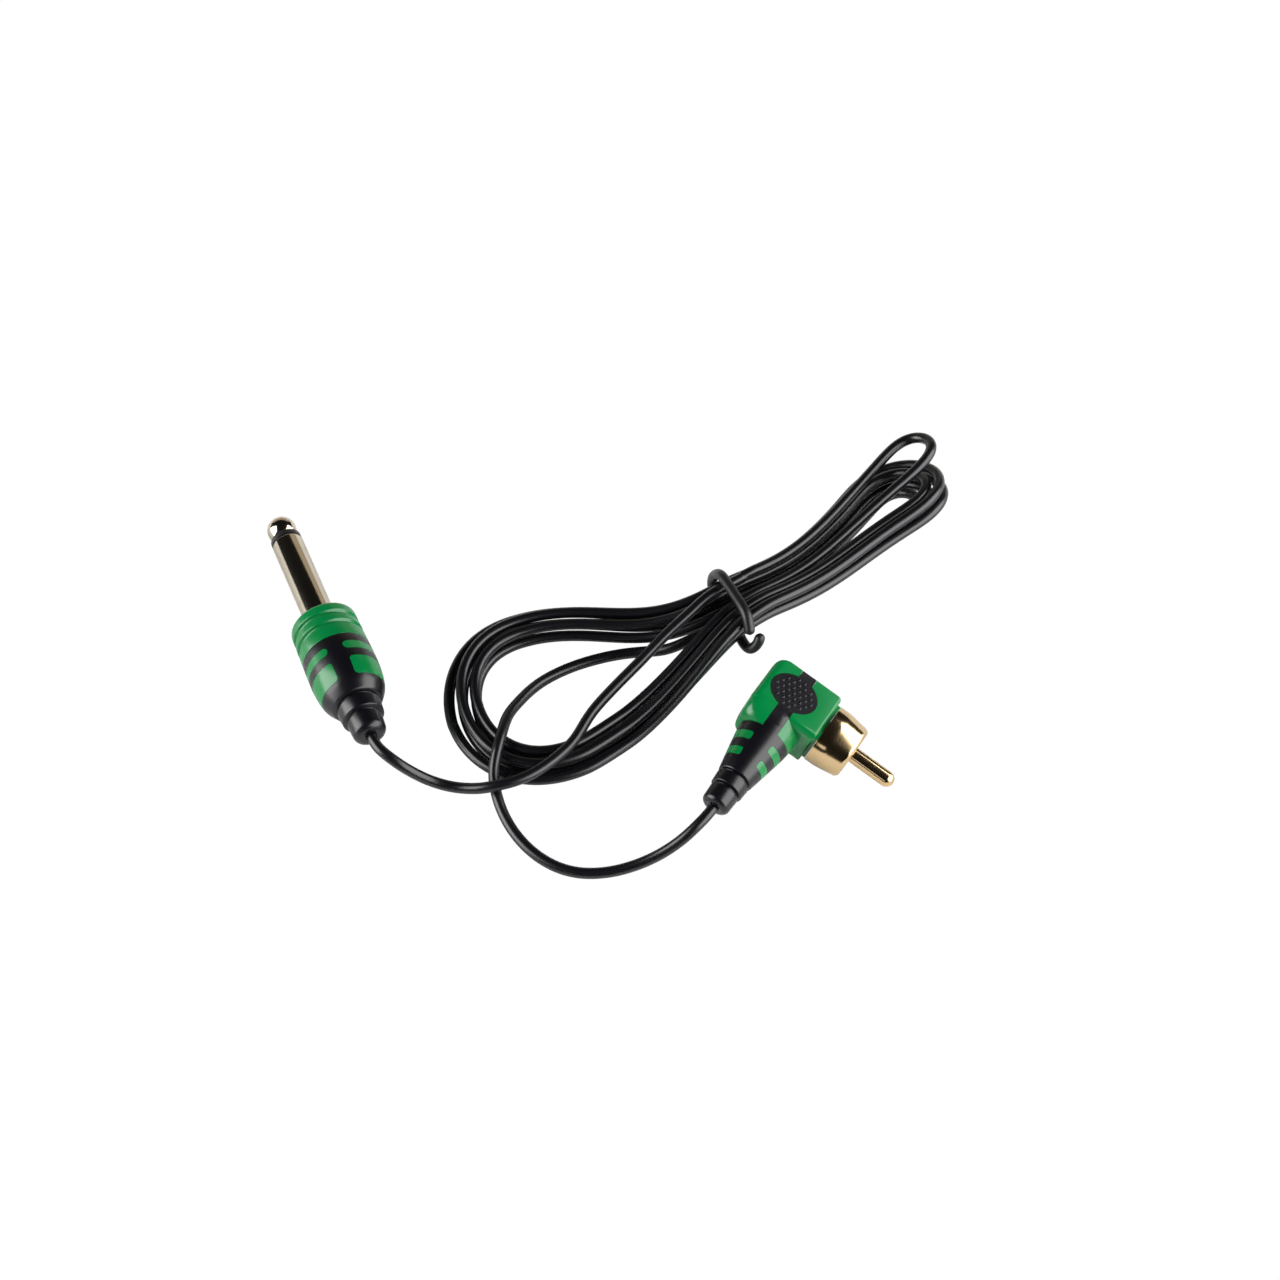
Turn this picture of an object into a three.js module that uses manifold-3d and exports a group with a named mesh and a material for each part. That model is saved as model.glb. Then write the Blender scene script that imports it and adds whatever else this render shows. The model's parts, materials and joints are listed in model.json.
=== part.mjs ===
// Instrument cable: a thin shielded lead with a straight 6.35 mm phone plug moulded on one end and a
// right-angle phono plug moulded on the other. The lead is wound into a hank that a tie holds at its waist.
// Millimetres, +Z up, +X from the phone plug towards the phono plug. The origin lies on the surface that
// both plugs rest on, between them.

import * as THREE from 'three';
import { mergeVertices } from 'three/addons/utils/BufferGeometryUtils.js';
import Module from 'manifold-3d';

const wasm = await Module();
wasm.setup();

// ---------------------------------------------------------------- driving dimensions

const CLEARANCE = 0.3; // between pieces that touch

// cable
const CABLE_DIAMETER = 2.2;
const CONDUCTOR_RADIUS = 0.4;

// phone plug, metal
const SLEEVE_RADIUS = 3.175;
const SLEEVE_WALL = 0.95;
const SLEEVE_CHAMFER = 0.25;
const SLEEVE_FLANGE_RADIUS = 4.9;
const SLEEVE_FLANGE_THICKNESS = 1.4;
const PLUG_REACH = 30.5; // from the face of the grip to the end of the tip
const TIP_RADIUS = 2.95;
const TIP_NECK_RADIUS = 2.1;
const TIP_NECK_LENGTH = 0.6;
const RING_THICKNESS = 0.8;
const ROD_RADIUS = 1.1;
const LUG_THICKNESS = 0.5;
const LUG_WIDTH = 2.4;
const LUG_RADIUS = 2.6;
const CLAW_LENGTH = 1.6; // along the cable
const SHIELD_TAIL_WIDTH = 0.9;
const SHIELD_TAIL_THICKNESS = 0.5;
const SHIELD_TAIL_LENGTH = 1.8;
const STRIP_OVERLAP = 3.6; // of the sleeve lug beside the jacket
const WASHER_THICKNESS = 0.8;
const SOLDER_RADIUS = 0.8;
const SOLDER_LENGTH = 1.0;

// phone plug, grip: distances behind its front face, and radii
const GRIP_FACE_RADIUS = 5.9;
const GRIP_FRONT_RADIUS = 6.7;
const GRIP_EDGE_ROUND = 0.8;
const GRIP_COLLAR_END = 9.1;
const GRIP_COLLAR_RADIUS = 6.95;
const GRIP_BELLY_AT = 15.0;
const GRIP_BELLY_RADIUS = 7.05;
const GRIP_SHOULDER_AT = 19.8;
const GRIP_SHOULDER_RADIUS = 6.4;
const GRIP_TAIL_RADIUS = 5.0;
const GRIP_GROOVES = [2.8, 5.5];
const GRIP_GROOVE_WIDTH = 1.2;
const GRIP_GROOVE_DEPTH = 0.5;
const GRIP_SKIN = 1.2; // thickness of the dark overmould
const GRIP_CAVITY_RADIUS = 4.6;
const GRIP_CAVITY_DEPTH = 17.5;
const GRIP_FRONT_WALL = 1.2;
const GRIP_RELIEF_STEPS = [ // distances before the end of the grip
  { groove: 7.9, grooveRadius: 4.1, start: 7.4, startRadius: 4.4, end: 4.8, endRadius: 4.1 },
  { groove: 4.4, grooveRadius: 3.2, start: 3.9, startRadius: 3.5, end: 1.0, endRadius: 2.95 },
];
const GRIP_LENGTH = 30.5;
const GRIP_END_RADIUS = 2.3;
const GRIP_WINDOW_ROWS = [
  { from: 11.2, to: 13.3, spine: 13, round: 9 },
  { from: 15.2, to: 19.6, spine: 15, round: 5 },
];

// phono plug, metal
const PIN_RADIUS = 1.6;
const PIN_REACH = 16.7; // from the base of the collar to the end of the pin
const PIN_SHANK_RADIUS = 1.1;
const COLLAR_RADIUS = 6.15;
const COLLAR_RIM_RADIUS = 5.5;
const COLLAR_LENGTH = 7.2;
const COLLAR_STRAIGHT_LENGTH = 3.0; // where it starts to narrow
const COLLAR_BORE = 4.15;
const COLLAR_FLOOR = 1.6;
const COLLAR_RIM_ROUND = 0.6;
const COLLAR_TAIL_RADIUS = 3.4;
const COLLAR_TAIL_LENGTH = 4.0;
const COLLAR_TAIL_WALL = 0.6;
const DIELECTRIC_THICKNESS = 0.8;
const GROUND_STRAP_WIDTH = 3.6;

// phono plug, housing
const HOUSING_LENGTH = 14.2; // along the pin
const HOUSING_WIDTH = 11.0; // along the cable
const HOUSING_HEIGHT = 12.2;
const HOUSING_EDGE = 0.6;
const HOUSING_REAR_CORNER = 2.1; // added to the edge at the upper rear corner
const HOUSING_FRONT_CORNER = 0.3; // added to the edge at the other corners
const FLANGE_THICKNESS = 0.8;
const FLANGE_STEP = 0.75; // how far the lip stands in from the block
const FLANGE_CORNER = 1.2;
const HOUSING_SKIN = 1.0;
const HOUSING_BORE = 3.75;
const HOUSING_REAR_WALL = 4.8; // behind the bore
const PAD_LENGTH = 10.0; // long axis of the oval thumb pad
const PAD_WIDTH = 7.4;
const PAD_FROM_REAR = 6.5;
const STRIPE_WIDTH = 3.2;
const STRIPE_FROM_PAD = 0.45; // from the middle of the pad towards the pin
const NECK_WIDTH = 3.3;

// phono plug, boot: distances from the pin's axis, and radii
const BOOT_FROM_REAR = 6.85; // the boot's axis, from the rear of the housing
const BOOT_ROOT_RADIUS = 5.75;
const BOOT_FLARE_FROM = 3.5; // where the flare at its root starts, as wide as the housing's rear
const BOOT_FLARE_HEIGHT = 0.85; // share of its width
const BOOT_SLEEVE_END = 8.9; // where the light housing ends and the dark boot starts
const BOOT_SLEEVE_RADIUS = 5.5;
const BOOT_MIDDLE_AT = 14.0;
const BOOT_MIDDLE_RADIUS = 4.6;
const BOOT_TAIL_RADIUS = 3.6;
const BOOT_SKIN = 1.15;
const BOOT_WINDOW_FLOOR = 1.5; // radius that the windows reach in to
const BOOT_RELIEF_STEPS = [ // distances before the end of the boot
  { groove: 7.1, grooveRadius: 3.0, start: 6.7, startRadius: 3.4, end: 4.5, endRadius: 3.2 },
  { groove: 4.1, grooveRadius: 2.55, start: 3.7, startRadius: 2.9, end: 0.9, endRadius: 2.65 },
];
const BOOT_LENGTH = 26.7;
const BOOT_END_RADIUS = 2.1;
const BOOT_WINDOW_ROWS = [
  { from: 10.9, to: 12.7, spine: 24, round: 8 },
  { from: 14.5, to: 16.3, spine: 27, round: 9 },
];
const PIN_SHANK_SHORT = 1.85; // from the end of the pin's shank to the boot's axis
const RELIEF_SHOULDER = 0.4; // from the end of a taper to its first groove, and the round of its last step
const RELIEF_GROOVE_HALF = 0.15; // half the flat bottom of a groove
const WINDOW_FAR_ANGLE = 166; // degrees from the top spine, where a window ends at the bottom one

// where the plugs lie
const PHONE_PLUG_FACE = [-49.385, 7.98];
const PHONE_PLUG_HEADING = 111.85; // degrees from +X, the way the tip points
const PHONE_PLUG_ROLL = 5;
const PHONO_PLUG_BASE = [48.665, -17.2];
const PHONO_PLUG_HEADING = -33.1;
const PHONO_PLUG_DIP = 15.2;

// the hank: the cable winds round a base line of two lobes, out along a lower layer and in along an upper one
const HANK_STEP = 2.75; // from loop to loop
const HANK_LAYER_RISE = 3.0; // from layer to layer
const HANK_MIDDLE = [29.565, 12.45]; // on the arc of the hank's middle line, by the tie
const HANK_HEADING = 32.3; // degrees from +X there, towards the far lobe
const HANK_BEND_RADIUS = 222;
const HANK_SWAYS = [ // how far the middle line leaves its arc to the left, and between which distances
  { sway: -6.4, from: -38, to: 7 },
  { sway: 2.2, from: 8, to: 44 },
];
const NEAR_LOBE = { reach: 50.8, halfWidth: 11.6, taper: 1.8, bluntness: 1 };
const FAR_LOBE = { reach: 46.5, halfWidth: 3.4, taper: 4, bluntness: 16 };
const HANK_BEGINNING = -Math.PI / 2; // the winding angle is 0 at the far end and half a turn at the near end
const HANK_REVERSAL = 5 * Math.PI;
const HANK_FINISH = 10.5 * Math.PI;
const HANK_END_REACH = 8; // how far past the tie the hank ends and the leads begin
const HANK_ROLL = 30; // degrees that the hank is turned about its length, its left side down
const HANK_ROLL_PIVOT = 11.4;
const HANK_ROLL_FROM = -27;
const HANK_ROLL_TO = 7;
const WAIST_RISE_REACH = 14;
const WAIST_GAP = 0.1; // more than the clearance, over the tie
const LAST_FOLD_RISE = 3.2; // the last far fold stands up over the others
const LAST_FOLD_SHIFT = 0.6;
const LAST_FOLD_REACH = 9;
const LOOP_STEPS = 24;
const FOLD_CROWDING = 0.5; // how much closer the steps lie at the folds

// the tie: a coated wire whose two ends are hooked past each other at the side of the hank
const TIE_DIAMETER = 2.1;
const TIE_POINTS = [ // along the hank, across it, and up, before its roll
  [2, -9.95, 5.8], [2.08, -10.8, 4.6], [1.36, -11.3, 3.2], [0.07, -11.1, 1.9], [-1.1, -9.9, 1.15],
  [-1.34, -8, 1.1], [-0.92, -4, 1.1], [-0.27, 1, 1.1], [0.16, 5.5, 1.1], [0.24, 8.1, 1.15],
  [0.29, 9.6, 2], [0.3, 10, 3.6], [0.29, 9.6, 5.7], [0.26, 8.5, 7.9], [0.2, 6.6, 9.6], [0.13, 4.4, 10.9],
  [0.07, 2.2, 11.5], [-0.01, -0.4, 11.1], [-0.12, -4, 10.1], [-0.22, -7.2, 9.2], [-0.38, -9.2, 8.2],
  [-0.61, -10.2, 6.6], [-0.72, -10.6, 5.3],
];

// the leads, from each plug to the hank
const PHONE_LEAD = [
  [-38.02, -20.37, 10.51], [-37.61, -21.38, 10.65], [-37.21, -22.39, 10.79], [-34.20, -24.93, 10.30],
  [-32.17, -25.92, 9.10], [-30.28, -26.37, 7.60], [-28.31, -26.71, 6.10], [-26.24, -26.99, 4.90],
  [-24.05, -27.34, 4.20], [-21.77, -27.79, 4.10], [-19.42, -28.31, 4.70], [-17.06, -28.82, 5.60],
  [-15.16, -28.82, 6.30], [-11.26, -28.11, 6.80], [-7.39, -26.29, 6.80], [-3.52, -23.33, 6.80],
  [0.37, -19.23, 6.80], [3.92, -12.41, 6.60], [8.27, -6.73, 6.70], [13.66, -0.97, 7.76],
  [18.36, 3.84, 9.39], [22.92, 7.82, 10.86], [27.09, 11.57, 11.94], [32.47, 14.84, 12.24],
  [33.26, 15.43, 12.15], [34.06, 15.99, 12.05],
];
const PHONO_LEAD = [
  [27.09, -35.37, 9.28], [26.49, -36.29, 9.28], [25.89, -37.21, 9.28], [24.66, -38.31, 9.05],
  [22.62, -40.04, 7.90], [19.57, -41.56, 5.70], [16.32, -42.71, 3.80], [12.85, -43.66, 2.40],
  [9.21, -44.43, 1.55], [5.44, -44.84, 1.15], [1.64, -44.75, 1.15], [-2.06, -43.69, 1.15],
  [-5.46, -41.70, 1.15], [-8.46, -39.04, 1.30], [-10.98, -35.92, 1.70], [-12.93, -32.38, 2.20],
  [-14.04, -29.34, 2.80], [-14.75, -26.32, 3.80], [-14.75, -23.60, 5.50], [-14.18, -21.05, 6.80],
  [-13.47, -17.60, 6.80], [-12.34, -12.08, 5.30], [-10.37, -8.24, 3.90], [-8.14, -4.74, 2.70],
  [-5.21, -1.56, 1.70], [-0.48, 1.46, 1.20], [4.39, 3.34, 1.15], [9.43, 4.52, 1.31], [14.12, 4.75, 1.88],
  [18.65, 4.08, 3.68], [24.13, 5.43, 5.94], [28.43, 7.07, 7.72], [32.84, 9.51, 8.88],
  [34.86, 10.67, 9.07], [35.79, 11.23, 9.05], [36.71, 11.78, 8.99],
];

// facets
const GRIP_SIDES = 32;
const METAL_SIDES = 24;
const INNER_SIDES = 14;
const WINDOW_STEP = 11; // degrees
const LEAD_SIDES = 8;
const LEAD_STEP = 2.5 * CABLE_DIAMETER;
const LOOP_SIDES = 6;
const TIE_STEPS = 40;

// ---------------------------------------------------------------- materials

const finish = (color, roughness, metalness) =>
  new THREE.MeshStandardMaterial({ color, roughness, metalness });
const GREEN_PLASTIC = finish(0x008a40, 0.35, 0);
const BLACK_PLASTIC = finish(0x1c1c20, 0.55, 0);
const CABLE_JACKET = finish(0x0a0a0c, 0.25, 0);
const TIE_RUBBER = finish(0x141416, 0.6, 0);
const PALE_GOLD = finish(0xc9b48c, 0.2, 1);
const RICH_GOLD = finish(0xd9b267, 0.15, 1);
const INSULATOR_BLACK = finish(0x101010, 0.5, 0);
const INSULATOR_WHITE = finish(0xe8e4da, 0.5, 0);
const TINNED_STEEL = finish(0xb8b8b4, 0.35, 1);
const SOLDER = finish(0xc4c4c8, 0.3, 1);
const COPPER = finish(0xb0663a, 0.35, 1);

// ---------------------------------------------------------------- helpers

const radians = THREE.MathUtils.degToRad;
const CABLE_RADIUS = CABLE_DIAMETER / 2;

/** A closed triangle mesh as a solid that can be joined and cut. */
function solid(geometry) {
  const bare = geometry.clone();
  bare.deleteAttribute('normal');
  bare.deleteAttribute('uv');
  const merged = mergeVertices(bare, 1e-4);
  const corners = merged.index.array;
  const triangles = [];
  for (let i = 0; i < corners.length; i += 3) {
    const [a, b, c] = [corners[i], corners[i + 1], corners[i + 2]];
    if (a !== b && b !== c && c !== a) triangles.push(a, b, c);
  }
  return new wasm.Manifold(new wasm.Mesh({
    numProp: 3,
    vertProperties: new Float32Array(merged.attributes.position.array),
    triVerts: new Uint32Array(triangles),
  }));
}

/** The triangles of a solid. */
function surface(body) {
  const mesh = body.getMesh();
  const geometry = new THREE.BufferGeometry();
  geometry.setAttribute('position', new THREE.Float32BufferAttribute(mesh.vertProperties, 3));
  geometry.setIndex(new THREE.Uint32BufferAttribute(mesh.triVerts, 1));
  geometry.computeVertexNormals();
  return geometry;
}

const joined = (first, ...rest) => rest.reduce((whole, piece) => whole.add(piece), first);
const cut = (first, ...rest) => rest.reduce((whole, piece) => whole.subtract(piece), first);

/** A turned piece about +Y from pairs of radius and height. A hollow profile closes on itself. */
function turned(profile, sides = METAL_SIDES, hollow = false) {
  const points = profile.map(([radius, height]) => new THREE.Vector2(radius, height));
  if (hollow) points.push(points[0].clone());
  return new THREE.LatheGeometry(points, sides);
}

/** A ring about +Y, from its two radii and two heights. */
const ring = (inner, outer, bottom, top, sides = METAL_SIDES) =>
  turned([[inner, bottom], [outer, bottom], [outer, top], [inner, top]], sides, true);

/** A round bar about +Y. */
const bar = (radius, bottom, top, sides = METAL_SIDES) =>
  turned([[0, bottom], [radius, bottom], [radius, top], [0, top]], sides);

/** A block with its low corner and its size. */
function block([x, y, z], [width, depth, height]) {
  return new THREE.BoxGeometry(width, depth, height).translate(x + width / 2, y + depth / 2, z + height / 2);
}

/** A round wire along a curve, with flat ends. */
function wire(curve, radius, steps, sides = LEAD_SIDES) {
  const section = new THREE.Shape();
  for (let i = 0; i < sides; i += 1) {
    const angle = (2 * Math.PI * i) / sides;
    const x = radius * Math.cos(angle);
    const y = radius * Math.sin(angle);
    if (i === 0) section.moveTo(x, y);
    else section.lineTo(x, y);
  }
  section.closePath();
  return new THREE.ExtrudeGeometry(section, { steps, extrudePath: curve, bevelEnabled: false });
}

/** A rectangle with its own radius at each corner, counter-clockwise from the low left one. */
function roundedRectangle(left, bottom, right, top, [lowLeft, lowRight, highRight, highLeft]) {
  const outline = new THREE.Shape();
  outline.moveTo(left + lowLeft, bottom);
  outline.lineTo(right - lowRight, bottom);
  outline.absarc(right - lowRight, bottom + lowRight, lowRight, -Math.PI / 2, 0);
  outline.lineTo(right, top - highRight);
  outline.absarc(right - highRight, top - highRight, highRight, 0, Math.PI / 2);
  outline.lineTo(left + highLeft, top);
  outline.absarc(left + highLeft, top - highLeft, highLeft, Math.PI / 2, Math.PI);
  outline.lineTo(left, bottom + lowLeft);
  outline.absarc(left + lowLeft, bottom + lowLeft, lowLeft, Math.PI, 1.5 * Math.PI);
  return outline;
}

/**
 * A window through a skin that is turned about +Y: a band between two distances, bent round the axis
 * between two angles from +Z, with round ends. The distances run towards -Y.
 */
function windowBlock({ from, to, spine, round }, side, inner, outer, shrink = 0) {
  const shrinkAngle = THREE.MathUtils.radToDeg(shrink / outer);
  const start = spine + shrinkAngle;
  const end = WINDOW_FAR_ANGLE - shrinkAngle;
  const middle = -(from + to) / 2;
  const half = (to - from) / 2 - shrink;
  const angles = [];
  for (const part of [0.03, 0.15, 0.4, 0.7, 1]) angles.push(start + part * round);
  const spans = Math.max(1, Math.round((end - start - 2 * round) / WINDOW_STEP));
  for (let i = 1; i < spans; i += 1) angles.push(start + round + ((end - start - 2 * round) * i) / spans);
  for (const part of [1, 0.7, 0.4, 0.15, 0.03]) angles.push(end - part * round);
  const position = [];
  const index = [];
  for (const angle of angles) {
    const fromEnd = Math.min(1, (angle - start) / round, (end - angle) / round);
    const reach = half * Math.sqrt(1 - (1 - fromEnd) ** 2);
    const a = side * radians(angle);
    for (const [radius, y] of [[inner, middle - reach], [inner, middle + reach],
      [outer, middle + reach], [outer, middle - reach]]) {
      position.push(radius * Math.sin(a), y, radius * Math.cos(a));
    }
  }
  const quad = (a, b, c, d) => (side > 0 ? index.push(a, b, c, a, c, d) : index.push(a, c, b, a, d, c));
  for (let i = 0; i + 1 < angles.length; i += 1) {
    for (let k = 0; k < 4; k += 1) {
      const next = (k + 1) % 4;
      quad(4 * i + k, 4 * i + next, 4 * (i + 1) + next, 4 * (i + 1) + k);
    }
  }
  const last = 4 * (angles.length - 1);
  quad(3, 2, 1, 0);
  quad(last, last + 1, last + 2, last + 3);
  const geometry = new THREE.BufferGeometry();
  geometry.setAttribute('position', new THREE.Float32BufferAttribute(position, 3));
  geometry.setIndex(index);
  return geometry;
}

/** All windows of a moulded skin, left and right of its spine. */
const windows = (rows, inner, outer, shrink) =>
  rows.flatMap((row) => [1, -1].map((side) => solid(windowBlock(row, side, inner, outer, shrink))));

/** The stepped, grooved end of a moulded strain relief, as pairs of radius and height. */
const reliefProfile = (steps, length, endRadius) => [
  ...steps.flatMap((step) => [
    [step.grooveRadius, step.groove + RELIEF_GROOVE_HALF - length],
    [step.grooveRadius, step.groove - RELIEF_GROOVE_HALF - length],
    [step.startRadius, step.start - length],
    [step.endRadius, step.end - length],
  ]),
  [(steps.at(-1).endRadius + endRadius + RELIEF_SHOULDER) / 2, RELIEF_SHOULDER - length],
  [endRadius, -length],
];

/** How far along a moulding its smooth taper ends and its first groove starts. */
const taperEnd = (steps, length) => length - steps[0].groove - RELIEF_SHOULDER;

/** A named piece. */
function piece(name, geometry, material) {
  const mesh = new THREE.Mesh(geometry, material);
  mesh.name = name;
  return mesh;
}

// ---------------------------------------------------------------- phone plug
// In its own frame the tip points along +Y, the grip's front face is at y = 0 and the spine faces +Z.

const GRIP_TAIL_AT = taperEnd(GRIP_RELIEF_STEPS, GRIP_LENGTH);
const GRIP_NECK_END = GRIP_TAIL_AT - 0.8; // where the inner moulding stops
const SLEEVE_BORE = SLEEVE_RADIUS - SLEEVE_WALL;
const FLANGE_TOP = -(GRIP_FRONT_WALL + CLEARANCE);
const FLANGE_BOTTOM = FLANGE_TOP - SLEEVE_FLANGE_THICKNESS;
const WASHER_BOTTOM = FLANGE_BOTTOM - CLEARANCE - WASHER_THICKNESS;
const TIP_LUG_BOTTOM = WASHER_BOTTOM - CLEARANCE - LUG_THICKNESS;
const ROD_BOTTOM = TIP_LUG_BOTTOM - 1.6;
const CORE_SOLDER_BOTTOM = ROD_BOTTOM - CLEARANCE - SOLDER_LENGTH;
const JACKET_TOP = CORE_SOLDER_BOTTOM - 3.2;

function phonePlugTip() {
  const centre = PLUG_REACH - TIP_RADIUS;
  const profile = [[0, PLUG_REACH]];
  const neckAngle = Math.PI - Math.asin(TIP_NECK_RADIUS / TIP_RADIUS);
  const steps = 9;
  for (let i = 1; i <= steps; i += 1) {
    const angle = (neckAngle * i) / steps;
    profile.push([TIP_RADIUS * Math.sin(angle), centre + TIP_RADIUS * Math.cos(angle)]);
  }
  const neckTop = profile.at(-1)[1];
  const seat = neckTop - TIP_NECK_LENGTH;
  profile.push([TIP_NECK_RADIUS, seat], [ROD_RADIUS, seat], [ROD_RADIUS, ROD_BOTTOM], [0, ROD_BOTTOM]);
  return { geometry: turned(profile.reverse(), METAL_SIDES), seat };
}

function phonePlugSleeve(top) {
  return turned([
    [SLEEVE_BORE, FLANGE_BOTTOM],
    [SLEEVE_FLANGE_RADIUS - SLEEVE_CHAMFER, FLANGE_BOTTOM],
    [SLEEVE_FLANGE_RADIUS, FLANGE_BOTTOM + SLEEVE_CHAMFER],
    [SLEEVE_FLANGE_RADIUS, FLANGE_TOP],
    [SLEEVE_RADIUS, FLANGE_TOP],
    [SLEEVE_RADIUS, top - SLEEVE_CHAMFER],
    [SLEEVE_RADIUS - SLEEVE_CHAMFER, top],
    [SLEEVE_BORE, top],
  ], METAL_SIDES, true);
}

/** The outside of the grip, from its front face back to a distance, as radius and height. */
const gripCollarProfile = () => [
  [GRIP_FACE_RADIUS, 0],
  [GRIP_FRONT_RADIUS - 0.25, -0.25],
  [GRIP_FRONT_RADIUS, -GRIP_EDGE_ROUND],
  ...GRIP_GROOVES.flatMap((groove) => {
    const along = groove / GRIP_COLLAR_END;
    const radius = THREE.MathUtils.lerp(GRIP_FRONT_RADIUS, GRIP_COLLAR_RADIUS, along);
    return [
      [radius, -(groove - GRIP_GROOVE_WIDTH / 2)],
      [radius - GRIP_GROOVE_DEPTH, -(groove - GRIP_GROOVE_WIDTH / 6)],
      [radius - GRIP_GROOVE_DEPTH, -(groove + GRIP_GROOVE_WIDTH / 6)],
      [radius, -(groove + GRIP_GROOVE_WIDTH / 2)],
    ];
  }),
];

const gripBellyProfile = (inset) => [
  [GRIP_COLLAR_RADIUS - inset, -GRIP_COLLAR_END],
  [GRIP_BELLY_RADIUS - inset - 0.02, -(GRIP_COLLAR_END + GRIP_BELLY_AT) / 2],
  [GRIP_BELLY_RADIUS - inset, -GRIP_BELLY_AT],
  [(GRIP_BELLY_RADIUS + GRIP_SHOULDER_RADIUS) / 2 + 0.12 - inset, -(GRIP_BELLY_AT + GRIP_SHOULDER_AT) / 2],
  [GRIP_SHOULDER_RADIUS - inset, -GRIP_SHOULDER_AT],
];

function gripMoulding() {
  const coreInset = GRIP_SKIN + CLEARANCE;
  const outer = solid(turned([
    [0, 0],
    ...gripCollarProfile(),
    ...gripBellyProfile(0),
    [0, -GRIP_SHOULDER_AT],
  ].reverse(), GRIP_SIDES));
  const core = solid(turned([
    [0, 0],
    ...gripCollarProfile(),
    [GRIP_COLLAR_RADIUS, -GRIP_COLLAR_END],
    ...gripBellyProfile(coreInset),
    [GRIP_TAIL_RADIUS - coreInset, -GRIP_NECK_END],
    [0, -GRIP_NECK_END],
  ].reverse(), GRIP_SIDES));
  const bosses = windows(GRIP_WINDOW_ROWS, GRIP_CAVITY_RADIUS + 0.2, GRIP_BELLY_RADIUS + 1, CLEARANCE)
    .map((boss) => boss.intersect(outer));
  const bore = solid(bar(SLEEVE_RADIUS + CLEARANCE, -GRIP_FRONT_WALL - 1, 1));
  const cavity = solid(bar(GRIP_CAVITY_RADIUS, -GRIP_CAVITY_DEPTH, FLANGE_TOP));
  const flangeSeat = solid(bar(SLEEVE_FLANGE_RADIUS + CLEARANCE, FLANGE_BOTTOM, -GRIP_FRONT_WALL));
  const passage = solid(bar(CABLE_RADIUS + CLEARANCE, -GRIP_LENGTH - 1, -GRIP_CAVITY_DEPTH + 1, INNER_SIDES));
  return cut(joined(core, ...bosses), bore, cavity, flangeSeat, passage);
}

function gripOvermould() {
  const start = GRIP_COLLAR_END + CLEARANCE;
  const skin = solid(turned([
    [0, -start],
    [GRIP_COLLAR_RADIUS, -start],
    ...gripBellyProfile(0).slice(1),
    [GRIP_TAIL_RADIUS, -GRIP_TAIL_AT],
    ...reliefProfile(GRIP_RELIEF_STEPS, GRIP_LENGTH, GRIP_END_RADIUS),
    [0, -GRIP_LENGTH],
  ].reverse(), GRIP_SIDES));
  const inside = solid(turned([
    [0, -start + 1],
    [GRIP_COLLAR_RADIUS - GRIP_SKIN, -start + 1],
    ...gripBellyProfile(GRIP_SKIN),
    [GRIP_TAIL_RADIUS - GRIP_SKIN, -GRIP_NECK_END - CLEARANCE],
    [0, -GRIP_NECK_END - CLEARANCE],
  ].reverse(), GRIP_SIDES));
  const passage = solid(bar(CABLE_RADIUS + CLEARANCE, -GRIP_LENGTH - 1, -GRIP_NECK_END, INNER_SIDES));
  const openings = windows(GRIP_WINDOW_ROWS, GRIP_CAVITY_RADIUS - 0.6, GRIP_BELLY_RADIUS + 1, 0);
  return cut(skin, inside, passage, ...openings);
}

/** A flat lug with a foot, on which two claws hold the cable. */
function clawLug(stripTop, stripBottom) {
  const reach = CABLE_RADIUS + CLEARANCE;
  const bottom = -reach - LUG_THICKNESS;
  const strip = block([-LUG_WIDTH / 2, stripBottom, bottom],
    [LUG_WIDTH, stripTop - stripBottom, LUG_THICKNESS]);
  const foot = block([bottom, stripBottom, bottom], [-2 * bottom, CLAW_LENGTH, LUG_THICKNESS]);
  const claws = [bottom, reach].map((x) =>
    solid(block([x, stripBottom, bottom], [LUG_THICKNESS, CLAW_LENGTH, -bottom])));
  return joined(solid(strip), solid(foot), ...claws);
}

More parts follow.
